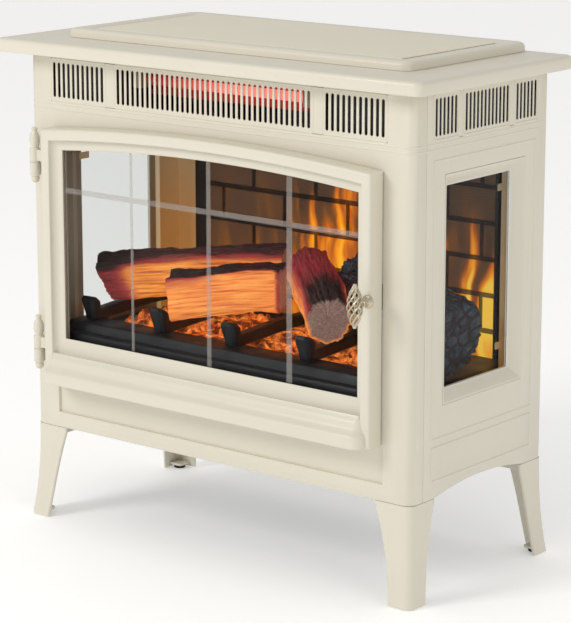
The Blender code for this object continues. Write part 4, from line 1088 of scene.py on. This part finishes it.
for label, joint_z in (("upper", 0.4345), ("lower", 0.2105)):
    for kind, profile in (("door", door_knuckle), ("body", body_knuckle)):
        bm = bmesh.new()
        turned_into(bm, profile, (hinge_x, hinge_y, joint_z))
        if kind == "door":
            prism_into(bm, "z", rounded(hinge_x + 0.0040, DOOR_LEFT + 0.0004, hinge_y - 0.0028, hinge_y + 0.0028,
                                        0.0006, 2), joint_z + 0.0022, joint_z + 0.0148)
        else:
            prism_into(bm, "z", rounded(hinge_x - 0.0030, hinge_x + 0.0050, hinge_y + 0.0040, cabinet_low.y + 0.0002,
                                        0.0006, 2), joint_z - 0.0148, joint_z - 0.0022)
        made = from_bmesh("%s_%s_knuckle" % (label, kind), bm, cream_enamel, 40)
        hand_over(made, "door" if kind == "door" else "cabinet", "cream_paint", "hinge_%s_%s_knuckle" % (label, kind))

# %% [markdown]
# ## The spring grip
# The handle is a cage of twisted wire, so that it stays cool. Seven wires start together at the top, swell out as
# they wind round, and meet again below. Here the tree draws one line, copies it seven times with an even shift, and
# sets each point of each copy by a formula. The radius of the cage follows half a sine wave, and the turn grows
# evenly from end to end.

# %% Tree: twisted wire cage
def wire_cage_tree():
    tree, given, leave = node_tree("wire_cage", ("Length", "Float", 0.05), ("Cage Radius", "Float", 0.009),
                                   ("Wire Radius", "Float", 0.001), ("Twist", "Float", 5.0), ("Wires", "Int", 7),
                                   ("Finish", "Material", None))
    line = add(tree, "GeometryNodeCurvePrimitiveLine").outputs[0]
    line = add(tree, "GeometryNodeResampleCurve", {"Curve": line, "Count": 40}).outputs[0]
    copy = add(tree, "GeometryNodeDuplicateElements", {"Geometry": line, "Amount": given["Wires"]}, domain="SPLINE")
    along = add(tree, "GeometryNodeSplineParameter").outputs["Factor"]
    swell = sums(tree, "SINE", sums(tree, "MULTIPLY", along, math.pi))
    swell = sums(tree, "POWER", sums(tree, "MAXIMUM", swell, 0.0), 0.75)
    reach = sums(tree, "MULTIPLY_ADD", swell, given["Cage Radius"], 0.0006)
    step = sums(tree, "DIVIDE", 2 * math.pi, given["Wires"])
    start = sums(tree, "MULTIPLY", copy.outputs["Duplicate Index"], step)
    angle = sums(tree, "MULTIPLY_ADD", along, given["Twist"], start)
    height = sums(tree, "MULTIPLY", sums(tree, "SUBTRACT", along, 0.5), given["Length"])
    spot = add(tree, "ShaderNodeCombineXYZ", {"X": sums(tree, "MULTIPLY", reach, sums(tree, "COSINE", angle)),
                                              "Y": sums(tree, "MULTIPLY", reach, sums(tree, "SINE", angle)),
                                              "Z": height}).outputs[0]
    bent = add(tree, "GeometryNodeSetPosition", {"Geometry": copy.outputs["Geometry"], "Position": spot}).outputs[0]
    circle = {"Resolution": 10, "Radius": given["Wire Radius"]}
    ring = add(tree, "GeometryNodeCurvePrimitiveCircle", circle).outputs[0]
    solid = add(tree, "GeometryNodeCurveToMesh", {"Curve": bent, "Profile Curve": ring, "Fill Caps": True}).outputs[0]
    close_tree(tree, solid, given["Finish"], leave)
    return tree


coil_low, coil_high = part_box("handle_coil")
coil_middle = (coil_low + coil_high) / 2
cage_values = {"Length": coil_high.z - coil_low.z - 0.004, "Cage Radius": (coil_high.x - coil_low.x) / 2 - 0.0018,
               "Wire Radius": 0.0010, "Twist": 4.4, "Wires": 7, "Finish": aged_nickel}
cage = grown("spring_grip", wire_cage_tree(), [(0, 0, 0)], cage_values, turn=Matrix.Translation(coil_middle),
             sharp=60)
hand_over(cage, "door", "nickel", "handle_coil")

boss_low, boss_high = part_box("handle_boss")
boss_middle = (boss_low + boss_high) / 2
bm = bmesh.new()
turned_into(bm, [(0, 0.0002), (0.0068, 0.0002), (0.0072, 0.0008), (0.0072, 0.0020),
                 (0.0066, 0.0028), (0.0050, 0.0033), (0.0044, 0.0042), (0.0042, 0.0100),
                 (0.0046, 0.0120), (0.0052, 0.0128), (0.0046, 0.0137), (0, 0.0139)],
            (boss_middle.x, boss_high.y, boss_middle.z), "-y")
turned_into(bm, [(0, -0.0240), (0.0016, -0.0240), (0.0022, -0.0232), (0.0022, -0.0210), (0.0014, -0.0196),
                 (0.0010, -0.0190), (0.0010, 0.0190), (0.0014, 0.0196), (0.0022, 0.0210), (0.0022, 0.0232),
                 (0.0016, 0.0240), (0, 0.0240)], coil_middle, "z", 20)
prism_into(bm, "y", rounded(boss_middle.x - 0.0014, boss_middle.x + 0.0014, coil_middle.z - 0.0014,
                            coil_middle.z + 0.0014, 0.0013, 4), coil_middle.y, boss_low.y + 0.001)
hand_over(from_bmesh("grip_stem", bm, aged_nickel, 40), "door", "nickel", "handle_boss")

# %% [markdown]
# ## The brick screen
# The back of the firebox is a moulded sheet of brickwork in running bond: each course is shifted by half a brick.
# The frame's panel stays as the mortar. One rough brick is modelled, and the copies tree sets it along the courses,
# with each copy cut to its length at the ends and tipped by a hair, as laid bricks are.

# %% Brick courses
panel_low, panel_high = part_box("brick_panel")
COURSE, JOINT, BRICK_LENGTH = 0.042, 0.0065, 0.0962
FIRST_JOINT_Z, BRICK_PROUD, BRICK_DEPTH = 0.253, 0.0022, 0.0040
FIRST_BRICK_X, BRICK_TIPS = -0.188, (0.004, 0.003, 0.004)


def brick_pattern():
    """A brick of one unit each way with soft, slightly broken edges."""
    bm = bmesh.new()
    bmesh.ops.create_cube(bm, size=1.0)
    bmesh.ops.subdivide_edges(bm, edges=bm.edges, cuts=5, use_grid_fill=True)
    for vert in bm.verts:
        edge_x, edge_z = abs(vert.co.x) > 0.49, abs(vert.co.z) > 0.49
        rough = noise.noise(vert.co * 7.0)
        if vert.co.y < -0.49:
            vert.co.y += 0.12 * rough + (0.30 if edge_x or edge_z else 0.0)
        if edge_x:
            vert.co.x += math.copysign(0.006, vert.co.x) * rough
        if edge_z:
            vert.co.z += math.copysign(0.020, vert.co.z) * rough
    made = from_bmesh("brick_pattern", bm, brick_clay, 60)
    scene.collection.objects.unlink(made)
    return made


def brick_courses():
    """Middles, turns and sizes of every brick, course by course."""
    chance = random.Random(11)
    places, turns, sizes = [], [], []
    course = 0
    z_low = FIRST_JOINT_Z - COURSE
    while z_low + JOINT / 2 < panel_high.z:
        low = max(z_low + JOINT / 2, panel_low.z + 0.0005)
        high = min(z_low + COURSE - JOINT / 2, panel_high.z - 0.0005)
        x = FIRST_BRICK_X - 2 * BRICK_LENGTH + (BRICK_LENGTH / 2 if course % 2 == 0 else 0.0)
        while x < panel_high.x:
            left, right = max(x + JOINT / 2, panel_low.x), min(x + BRICK_LENGTH - JOINT / 2, panel_high.x)
            if right - left > 0.006:
                places.append(((left + right) / 2, panel_low.y + BRICK_DEPTH / 2 - BRICK_PROUD, (low + high) / 2))
                turns.append(tuple(chance.uniform(-tip, tip) for tip in BRICK_TIPS))
                sizes.append((right - left, BRICK_DEPTH, high - low))
            x += BRICK_LENGTH
        z_low += COURSE
        course += 1
    return places, turns, sizes


places, turns, sizes = brick_courses()
bricks = copied("brick_courses", brick_pattern(), places, brick_clay, turns, sizes, 60)
hand_over(bricks, "cabinet", "brick")
dress("brick_panel", dark_mortar)
print("bricks:", len(places))

# %% [markdown]
# ## The grate and its ledge
# A black ledge runs along the front of the fire. Five arms leave it, pass back over the embers and rise a little to
# carry the logs. At its front each arm ends in a squat, eight-sided post that leans forward.

# %% Grate
LEDGE_Z, ARM_HALF = 0.2440, 0.0072
ARMS_X = (-0.216, -0.108, 0.0, 0.108, 0.216)


def octagon(centre, half_x, half_y, cut=0.42):
    """A rectangle with its corners cut off, as eight points."""
    x, y = centre
    a, b = half_x * (1 - cut), half_y * (1 - cut)
    return [(x - a, y - half_y), (x + a, y - half_y), (x + half_x, y - b), (x + half_x, y + b),
            (x + a, y + half_y), (x - a, y + half_y), (x - half_x, y + b), (x - half_x, y - b)]


def build_grate():
    bm = bmesh.new()
    floor_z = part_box("firebox_floor")[1].z + 0.0002
    ledge = [(-0.0960, floor_z), (-0.0960, LEDGE_Z - 0.0160), (-0.0945, LEDGE_Z - 0.0130),
             (-0.0900, LEDGE_Z - 0.0105), (-0.0880, LEDGE_Z - 0.0035), (-0.0865, LEDGE_Z - 0.0010),
             (-0.0840, LEDGE_Z), (-0.0560, LEDGE_Z), (-0.0535, LEDGE_Z - 0.0012),
             (-0.0525, LEDGE_Z - 0.0040), (-0.0520, floor_z)]
    prism_into(bm, "x", ledge, -0.2350, 0.2350)
    prism_into(bm, "x", rounded(0.0640, 0.0720, 0.2440, 0.2520, 0.002, 3), -0.2350, 0.2350)
    for x in ARMS_X:
        sections = ((-0.0700, 0.2415, 0.2540), (-0.0480, 0.2420, 0.2560), (-0.0100, 0.2440, 0.2585),
                    (0.0300, 0.2460, 0.2600), (0.0700, 0.2450, 0.2590), (0.0880, 0.2440, 0.2540))
        loops = []
        for y, low, high in sections:
            outline = octagon((x, (low + high) / 2), ARM_HALF, (high - low) / 2, 0.25)
            loops.append([(a, y, b) for a, b in outline])
        skin_loops(bm, loops)
        post = ((0.0000, 0.0080, 0.0070, 0.0), (0.0060, 0.0082, 0.0072, -0.0008), (0.0170, 0.0104, 0.0088, -0.0030),
                (0.0230, 0.0106, 0.0090, -0.0044), (0.0270, 0.0072, 0.0058, -0.0056))
        loops = []
        for rise, half_x, half_y, lean in post:
            loops.append([(a, b, LEDGE_Z - 0.0010 + rise + (b + 0.0650) * -0.25)
                          for a, b in octagon((x, -0.0660 + lean), half_x, half_y)])
        skin_loops(bm, loops)
    made = from_bmesh("fire_grate", bm, cast_iron, 30)
    soften = made.modifiers.new("soft_edges", "BEVEL")
    soften.width, soften.segments, soften.limit_method = 0.0007, 2, "ANGLE"
    soften.angle_limit = math.radians(30)
    return hand_over(made, "cabinet", "black_metal", "log_grate")


build_grate()

# %% [markdown]
# ## The ember bed
# The embers are one moulded bed of lumps, with loose coals on it. The bed is a grid lifted by layered noise, low
# along its rim. The coals are one rough pebble, set by the copies tree at seeded random places, turns and sizes,
# and kept clear of the grate's arms.

# %% Embers
bed_low, bed_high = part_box("ember_bed")


def bed_height(x, y):
    """Height of the bed's skin over its flat underside."""
    rim = min((x - bed_low.x) / 0.012, (bed_high.x - x) / 0.012, (y - bed_low.y) / 0.006,
              (bed_high.y - y) / 0.020, 1.0)
    lump = noise.fractal(Vector((x * 38, y * 38, 2.0)), 1.0, 2.0, 4)
    cell = 1.0 - min(1.0, noise.cell(Vector((x * 60, y * 60, 1.0))) * 0.5 + 0.5)
    return 0.0025 + max(0.0, rim) * (0.0145 + 0.0060 * lump + 0.0016 * cell)


def build_bed():
    columns, rows = 150, 60
    bm = bmesh.new()
    grid = []
    for j in range(rows + 1):
        y = bed_low.y + (bed_high.y - bed_low.y) * j / rows
        xs = [bed_low.x + (bed_high.x - bed_low.x) * i / columns for i in range(columns + 1)]
        grid.append([bm.verts.new((x, y, bed_low.z + bed_height(x, y))) for x in xs])
    for first, second in zip(grid[:-1], grid[1:]):
        for i in range(columns):
            bm.faces.new((first[i], first[i + 1], second[i + 1], second[i]))
    rim = grid[0] + [line[-1] for line in grid[1:]] + grid[-1][-2::-1] + [line[0] for line in grid[-2:0:-1]]
    under = [bm.verts.new((vert.co.x, vert.co.y, bed_low.z)) for vert in rim]
    for i in range(len(rim)):
        j = (i + 1) % len(rim)
        bm.faces.new((rim[i], rim[j], under[j], under[i]))
    bm.faces.new(under)
    return hand_over(from_bmesh("glowing_bed", bm, ember_coals, 70), "cabinet", "ember", "ember_bed")


def coal_pattern(name, seed, material):
    """A rough pebble about one unit across."""
    bm = bmesh.new()
    bmesh.ops.create_icosphere(bm, subdivisions=3, radius=0.5)
    for vert in bm.verts:
        push = noise.noise(vert.co * 2.3 + Vector((seed, 0, 0))) * 0.42 + noise.noise(vert.co * 6.0) * 0.12
        vert.co *= 1.0 + push
        vert.co.z *= 0.72
    made = from_bmesh(name, bm, material, 40)
    scene.collection.objects.unlink(made)
    return made


def scatter_coals(name, count, seed, material, smallest, largest):
    chance = random.Random(seed)
    places, turns, sizes = [], [], []
    while len(places) < count:
        x = chance.uniform(bed_low.x + 0.012, bed_high.x - 0.012)
        y = chance.uniform(bed_low.y + 0.010, bed_high.y - 0.020)
        size = chance.uniform(smallest, largest)
        if min(abs(x - arm) for arm in ARMS_X) < ARM_HALF + size * 0.5:
            continue
        places.append((x, y, bed_low.z + bed_height(x, y) + size * 0.12))
        turns.append(tuple(chance.uniform(-math.pi, math.pi) for axis in "xyz"))
        sizes.append((size * chance.uniform(0.9, 1.5), size, size * chance.uniform(0.7, 1.0)))
    made = copied(name, coal_pattern(name + "_pattern", seed, material), places, material, turns, sizes, 40)
    return hand_over(made, "cabinet", "ember")


ash_coals = hot_ember("ash_coals", 0.35)
build_bed()
scatter_coals("hot_coals", 120, 3, ember_coals, 0.008, 0.016)
scatter_coals("ash_lumps", 26, 8, ash_coals, 0.009, 0.018)

# %% [markdown]
# ## The logs
# A log is a tube of rings along a bent line. The ring is a rounded square for split wood and a circle for round
# wood, and ridges of noise, stretched along the log, give it fibres. The ends break off unevenly. While it is made,
# each point stores how far along and round it lies and how much bark covers it, which is what the wood finish
# reads.

# %% Log builder
def smooth(value, low, high):
    share = min(1.0, max(0.0, (value - low) / (high - low)))
    return share * share * (3 - 2 * share)


def build_log(name, node, start, end, half_sizes, square, roll, material, bark_rule, seed, sag=0.0, ridge=0.0016,
              slant=(0.0, 0.0)):
    """A rough log between two points. bark_rule(share, up) is the cover, slant tips its two ends."""
    start, end = Vector(start), Vector(end)
    axis = end - start
    length = axis.length
    direction = axis.normalized()
    across = direction.cross(Vector((0, 0, 1))).normalized()
    upright = across.cross(direction)
    rings, around, cap_rings = 110, 96, 7
    bm = bmesh.new()
    wood = bm.verts.layers.float_vector.new("wood")
    tip = bm.verts.layers.float.new("tip")
    loops = []
    steps = [(0.0, k / cap_rings) for k in range(cap_rings)]
    steps += [(i / rings, 1.0) for i in range(rings + 1)]
    steps += [(1.0, k / cap_rings) for k in range(cap_rings - 1, -1, -1)]
    for share, fill in steps:
        loop = []
        grow = half_sizes[0] + (half_sizes[1] - half_sizes[0]) * share
        for k in range(around):
            angle = 2 * math.pi * k / around - math.pi / 2
            c, s = math.cos(angle + roll), math.sin(angle + roll)
            factor = (abs(c) ** square + abs(s) ** square) ** (-1 / square)
            side, rise = factor * math.cos(angle) * grow, factor * math.sin(angle) * grow * half_sizes[2]
            low = noise.fractal(Vector((share * length * 11, c * 1.1 + seed, s * 1.1)), 1.0, 2.0, 3)
            fine = noise.fractal(Vector((share * length * 26, c * 7.0, s * 7.0 + seed)), 0.8, 2.0, 4)
            cover = bark_rule(share, rise / (grow * half_sizes[2]))
            push = 1.0 + (low * 0.0042 + fine * ridge * (1.0 + 1.2 * cover)) / grow
            out = across * side * push * fill + upright * rise * push * fill
            ragged = noise.fractal(Vector((c * 2.2, s * 2.2, seed + share * 9)), 1.0, 2.0, 4)
            slip = slant[0] * rise * (1 - share) + slant[1] * rise * share
            end_push = (ragged * 0.0014 * (1.0 if share in (0.0, 1.0) else 0.0) + slip) * fill
            hang = -sag * math.sin(math.pi * share)
            vert = bm.verts.new(start + axis * share + out + direction * end_push + upright * hang)
            vert[wood] = (share * length, angle * grow, cover)
            vert[tip] = 1.0 if fill < 0.93 else 0.0
            loop.append(vert)
        loops.append(loop)
    for first, second in zip(loops[:-1], loops[1:]):
        for i in range(around):
            j = (i + 1) % around
            bm.faces.new((first[i], first[j], second[j], second[i]))
    made = from_bmesh(name, bm, material, 50)
    return hand_over(made, "cabinet", "charred_wood" if material is charred_bark else "wood", node)


# %% [markdown]
# Four logs lie on the grate. The rear one is dark at its left end and lit from below. The front one shows a broad
# glowing face. The third is round and points at the viewer, so its cut end shows. The fourth, at the right, is
# burnt black.

# %% Four logs
build_log("log_back", "log_rear_left", (-0.2200, -0.0380, 0.2900), (-0.0200, 0.0560, 0.3080), (0.0225, 0.0280, 1.0),
          3.4, 0.30, dim_split,
          lambda share, up: 0.04 + 0.72 * smooth(up, 0.35, 0.98) + 0.55 * (1 - smooth(share, 0.05, 0.24)),
          3.0, -0.004, 0.0018, (-0.35, 0.1))
build_log("log_fore", "log_front", (-0.1000, -0.0560, 0.2850), (0.0150, 0.0060, 0.3000), (0.0250, 0.0255, 1.02),
          5.0, 0.0, oak_split,
          lambda share, up: 0.03 + 0.78 * smooth(up, 0.82, 1.02)
          + 0.34 * smooth(up, 0.15, 0.8) * (1 - smooth(share, 0.2, 0.7)) + 0.5 * smooth(share, 0.93, 1.0),
          7.0, -0.002, 0.0014, (0.0, 0.12))
build_log("log_round", "log_right", (0.1230, -0.0480, 0.2880), (0.0150, 0.0560, 0.3130), (0.0252, 0.0270, 1.0),
          2.1, 0.2, oak_split,
          lambda share, up: 0.18 + 0.42 * smooth(up, -0.25, 0.70)
          + 0.26 * smooth(up, 0.3, 0.95) * (1 - smooth(share, 0.10, 0.55)), 12.0, -0.006, 0.0016, (0.15, 0.0))
build_log("log_burnt", "log_charred", (0.2370, 0.0340, 0.2660), (0.0740, 0.0600, 0.3060), (0.0400, 0.0310, 1.05),
          2.3, 0.4, charred_bark, lambda share, up: 0.8, 21.0, -0.008, 0.0036)

# %% [markdown]
# ## Glow of the heater
# Behind the middle slots lies a quartz tube in a bright trough. The tube is hottest towards its right end, so its
# light goes from deep red to nearly white along its length. The trough and the duct only show the tube's light
# again, dimmer and redder; that reflection is painted on them as their own glow.

# %% Heater finishes
def heat_along(name, stops, strength, base, gloss):
    """Glow whose colour runs along X; it is the tube's own light, and on the trough and duct a painted reflection of
    it.
    """
    material, tree, shader = finish(name, roughness=gloss, emission_strength=strength)
    split = add(tree, "ShaderNodeSeparateXYZ", {"Vector": place_in(tree)}).outputs
    share = add(tree, "ShaderNodeMapRange", {"Value": split["X"], "From Min": -0.130, "From Max": 0.125}).outputs[0]
    tree.links.new(ramp(tree, share, stops), shader.inputs["Emission Color"])
    shader.inputs["Base Color"].default_value = base
    return material


black = (0, 0, 0, 1)
tube_stops = ((0.02, tone(96, 10, 8)), (0.16, tone(150, 30, 26)), (0.42, tone(228, 92, 80)),
              (0.55, tone(252, 140, 122)), (0.95, tone(250, 126, 108)))
painted_reflection_stops = ((0.02, black), (0.12, tone(120, 18, 14)), (0.45, tone(176, 34, 30)), (0.88, tone(190, 40, 36)),
                (0.96, black))
tube_glow = heat_along("tube_glow", tube_stops, 1.05, tone(60, 30, 28), 0.3)
trough_painted_reflection = heat_along("trough_painted_reflection", painted_reflection_stops, 0.42, tone(110, 60, 56), 0.4)
duct_painted_reflection = heat_along("duct_painted_reflection", painted_reflection_stops, 0.26, tone(26, 22, 22), 0.6)
for node, material in (("quartz_tube", tube_glow), ("heat_reflector", trough_painted_reflection), ("heater_housing", duct_painted_reflection)):
    dress(node, material)

# %% [markdown]
# Behind the other slots it is simply dark. A black lining of thin sheet closes the space behind the side slots and
# behind the two outer groups at the front, so that no light comes through from the far side; its black is painted
# shade.

# %% Dark lining behind the slots
bm = bmesh.new()
shelf_z, roof_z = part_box("firebox_ceiling")[1].z + 0.0004, top_low.z - 0.0012
wall_x, wall_y, sheet = cabinet_high.x - 0.0085, cabinet_low.y + 0.0095, 0.0006
duct_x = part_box("heater_housing")[1].x
rear_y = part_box("back_panel")[0].y - 0.004
for sign in (-1, 1):
    for x0, x1, y0, y1 in ((wall_x, wall_x + sheet, wall_y, rear_y),
                           (duct_x + 0.0010, wall_x, wall_y, wall_y + sheet)):
        prism_into(bm, "z", rounded(min(sign * x0, sign * x1), max(sign * x0, sign * x1), y0, y1, 0.0001, 1),
                   shelf_z, roof_z)
hand_over(from_bmesh("slot_lining", bm, black_enamel), "cabinet", "black_metal")

# %% [markdown]
# ## Inside the firebox
# Behind the windows the cabinet's inner walls show. Each side has a cream cheek that runs from the window back to
# the screen, with a folded edge and two small clips that hold the pane, and a dark post closes the corner beside
# the bricks.

# %% Cheeks, posts and clips
def firelight_painted_enamel():
    """Cream enamel with the fire's light painted on as its own glow, yellower low down; its base is darker and
    browner than the outer cream, which is painted shade.
    """
    material = skin("firelight_painted_enamel", tone(206, 196, 170), 0.03, (0.36, 0.48), 620.0, 0.00012, emission_strength=0.5)
    tree = material.node_tree
    height = add(tree, "ShaderNodeSeparateXYZ", {"Vector": place_in(tree)}).outputs["Z"]
    glow = ramp(tree, between(tree, height, 0.27, 0.47), ((0.0, tone(170, 110, 30)), (1.0, tone(120, 96, 62))))
    tree.links.new(glow, tree.nodes["Principled BSDF"].inputs["Emission Color"])
    return material


window_low, window_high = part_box("side_glass_right")
ceiling_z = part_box("firebox_ceiling")[0].z - 0.0004
floor_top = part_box("firebox_floor")[1].z + 0.0004
bm_dark, bm_cream = bmesh.new(), bmesh.new()
for sign in (-1, 1):
    inner = window_low.x - 0.0012
    fold = panel_high.x + 0.0215
    post = [(panel_high.x + 0.0006, 0.1400), (panel_high.x + 0.0040, 0.1400), (panel_high.x + 0.0040, 0.1445),
            (fold, 0.1445), (fold, 0.1490), (panel_high.x + 0.0006, 0.1490)]
    prism_into(bm_dark, "z", [(sign * a, b) for a, b in post], floor_top, ceiling_z)
    cheek = [(inner, window_high.y - 0.0030), (inner, 0.1470), (fold + 0.0003, 0.1470), (fold + 0.0003, 0.1440),
             (fold + 0.0030, 0.1440), (inner - 0.0016, 0.1380), (inner - 0.0016, window_high.y + 0.0050),
             (inner - 0.0070, window_high.y - 0.0010),
             (inner - 0.0070, window_high.y - 0.0030)]
    prism_into(bm_cream, "z", [(sign * a, b) for a, b in cheek], floor_top, ceiling_z)
    for z in (window_low.z + 0.030, window_high.z - 0.030):
        for y, reach in ((window_high.y, -0.010), (window_low.y, 0.010)):
            clip_low, clip_high = sorted((y - reach * 0.6, y + reach))
            clip = rounded(clip_low, clip_high, z - 0.004, z + 0.004, 0.0012, 3)
            low_x, high_x = sorted((sign * (inner - 0.0078), sign * (inner - 0.0070)))
            prism_into(bm_cream, "x", clip, low_x, high_x)
prism_into(bm_dark, "z", rounded(-0.2600, 0.2600, 0.1472, 0.1488, 0.0002, 1), 0.4700, ceiling_z)
hand_over(from_bmesh("corner_posts", bm_dark, black_enamel), "cabinet", "black_metal", "firebox_liner")
hand_over(from_bmesh("firebox_cheeks", bm_cream, firelight_painted_enamel()), "cabinet", "cream_paint")

# %% [markdown]
# ## Screws
# The back and the base are held by pan-head screws with a cross in the head. One screw is modelled: a turned head,
# with the cross sunk by a Boolean. The copies tree then sets one in each place, every one turned a little
# differently, as hand-driven screws are.

# %% Screw pattern and its places
def screw_pattern():
    bm = bmesh.new()
    turned_into(bm, [(0, -0.0004), (0.0034, -0.0004), (0.0036, 0.0002), (0.0033, 0.0010), (0.0024, 0.0017),
                     (0.0012, 0.0020), (0, 0.0021)], (0, 0, 0), "z", 24)
    head = from_bmesh("screw_pattern", bm, zinc_sheet, 40)
    bm = bmesh.new()
    prism_into(bm, "z", rounded(-0.0019, 0.0019, -0.00035, 0.00035, 0.0002, 2), 0.0008, 0.0030)
    prism_into(bm, "z", rounded(-0.00035, 0.00035, -0.0019, 0.0019, 0.0002, 2), 0.0009, 0.0031)
    cross = from_bmesh("screw_cross", bm, zinc_sheet)
    sink = head.modifiers.new("cross", "BOOLEAN")
    sink.operation, sink.object, sink.solver, sink.use_self = "DIFFERENCE", cross, "EXACT", True
    seen = head.evaluated_get(bpy.context.evaluated_depsgraph_get())
    mesh = bpy.data.meshes.new_from_object(seen)
    for old in (head, cross):
        bpy.data.objects.remove(old)
    return bpy.data.objects.new("screw_pattern", mesh)


def screws(name, places, face):
    """Screws at places on a face that looks along face, an (x, y, z) turn in radians before each own twist."""
    chance = random.Random(len(places))
    turns = []
    for place in places:
        own = Matrix.Rotation(chance.uniform(0, math.pi), 3, "Z")
        turns.append(tuple((face @ own).to_euler()))
    return hand_over(copied(name, screw, places, zinc_sheet, turns), "cabinet", "zinc")


screw = screw_pattern()
back_low, back_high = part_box("back_panel")
back_places = []
for x in (back_low.x + 0.010, -0.090, 0.090, back_high.x - 0.010):
    back_places += [(x, back_high.y, back_low.z + 0.010), (x, back_high.y, back_high.z - 0.012)]
for z in (0.250, 0.360):
    back_places += [(back_low.x + 0.010, back_high.y, z), (back_high.x - 0.010, back_high.y, z)]
screws("back_screws", back_places, Matrix.Rotation(-math.pi / 2, 3, "X"))
base_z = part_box("base_pan")[0].z
base_places = [(x, y, base_z) for x in (-0.200, 0.0, 0.200) for y in (cabinet_low.y + 0.022, cabinet_high.y - 0.022)]
screws("base_screws", base_places, Matrix.Rotation(math.pi, 3, "X"))

# %% [markdown]
# ## The back sheet
# The rear is a black sheet with an air intake of slots near the top, which the frame's own sheet already has. Four
# low beads, each round a rectangle, stand for the pressings that keep such a sheet from drumming.

# %% Back sheet and stiffening beads
refined_back = refined("back_sheet", "back_panel", black_enamel, 0.0004)
hand_over(refined_back, "cabinet", "black_metal", "back_panel")
rear = back_high.y - 0.0004
paths = []
for x0, x1 in ((-0.225, -0.015), (0.015, 0.225)):
    for z0, z1 in ((0.200, 0.320), (0.345, 0.465)):
        paths.append([(x0, rear, z0), (x1, rear, z0), (x1, rear, z1), (x0, rear, z1)])
hand_over(beaded("back_beads", paths, 0.0012, 0.012, black_enamel), "cabinet", "black_metal")

# %% [markdown]
# ## The controls
# Four push buttons sit in a small panel behind the door's lower rail. They get rounded edges from a bevel, and each
# has one raised dot in place of any writing.

# %% Buttons with a dot each
button_plastic = skin("button_plastic", tone(92, 93, 96), 0.06, (0.34, 0.46), 900.0, 0.0001)
for label in ("power", "heat", "flame", "timer"):
    node = "button_" + label
    low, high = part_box(node)
    middle = (low + high) / 2
    bm = bmesh.new()
    loops = []
    for inset, y in ((0.0010, low.y), (0.0004, low.y + 0.0003), (0.0, low.y + 0.0010), (0.0, high.y)):
        outline = rounded(low.x + inset, high.x - inset, low.z + inset, high.z - inset, 0.0018, 6)
        loops.append([(x, y, z) for x, z in outline])
    skin_loops(bm, loops)
    turned_into(bm, [(0, -0.0004), (0.0011, -0.0004), (0.0011, 0.0002), (0.0007, 0.00045), (0, 0.0005)],
                (middle.x, low.y + 0.0002, middle.z), "-y", 20)
    hand_over(from_bmesh("push_" + label, bm, button_plastic, 40), label + "_button", "black_plastic", node)

# %% [markdown]
# The door is held shut by a magnet in a black plastic holder. It gets rounded edges, a bright steel face with two
# round pole ends, and it stays hidden behind the edge of the door.

# %% Magnet catch
catch_low, catch_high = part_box("magnet_catch")
catch_right, catch_middle = 0.2374, (catch_low + catch_high) / 2
bm = bmesh.new()
loops = []
for inset, y in ((0.0008, catch_low.y + 0.0004), (0.0, catch_low.y + 0.0012), (0.0, catch_high.y)):
    outline = rounded(catch_low.x + inset, catch_right - inset, catch_low.z + inset, catch_high.z - inset, 0.002, 5)
    loops.append([(x, y, z) for x, z in outline])
skin_loops(bm, loops)
hand_over(from_bmesh("catch_holder", bm, black_plastic, 40), "cabinet", "black_plastic", "magnet_catch")
bm = bmesh.new()
for z in (catch_middle.z - 0.011, catch_middle.z + 0.011):
    turned_into(bm, [(0, -0.0010), (0.0036, -0.0010), (0.0036, 0.0001), (0.0033, 0.0004), (0, 0.0004)],
                ((catch_low.x + catch_right) / 2, catch_low.y + 0.0004, z), "-y", 24)
hand_over(from_bmesh("catch_poles", bm, zinc_sheet, 40), "cabinet", "zinc")

# %% [markdown]
# ## The pieces that keep their plain shape
# The heater, the blower, the boards and the inner plates are plain on the real object too, and are seen only
# through slots. Their frame solids stay, and each gets the finish of what it is made of; the white ceramic holders
# are given a darker colour, which is painted shade.

# %% Finishes for the frame's own solids
plain_finishes = {
    black_enamel: ("back_panel", "base_pan", "firebox_floor", "firebox_ceiling"),
    black_plastic: ("cord_inlet", "blower_wheel", "rotor_bearing", "control_panel"),
    zinc_sheet: ("blower_housing", "blower_motor", "rotor_motor"),
    bright_aluminium: ("flame_rotor",),
    ceramic_painted_shade: ("tube_holder_left", "tube_holder_right"),
    green_board: ("led_board", "control_board"),
}
plain_finishes[soft_rubber] = tuple(n for n in nodes if n.startswith("foot_pad"))
for material, names in plain_finishes.items():
    for name in names:
        dress(name, material)
undressed = [n for n, o in nodes.items() if not o.hide_render and n not in sum(plain_finishes.values(), ())]
print("frame nodes still to dress:", undressed)

# %% [markdown]
# ## The floor
# A plain pale floor catches a soft shadow under the feet. It gives off a little light of its own, so that it looks
# nearly white. It is part of the room, and not of the stove.

# %% Floor
floor_paint = skin("floor_paint", tone(244, 244, 243), 0.004, (0.6, 0.7), 60.0, 0.0001, emission_strength=0.28)
floor_paint.node_tree.nodes["Principled BSDF"].inputs["Emission Color"].default_value = tone(255, 255, 254)
floor_half = 14.0
bm = bmesh.new()
bmesh.ops.create_grid(bm, x_segments=4, y_segments=4, size=floor_half)
floor = from_bmesh("floor", bm, floor_paint)
floor.location.z = cad_low.z - 0.0002
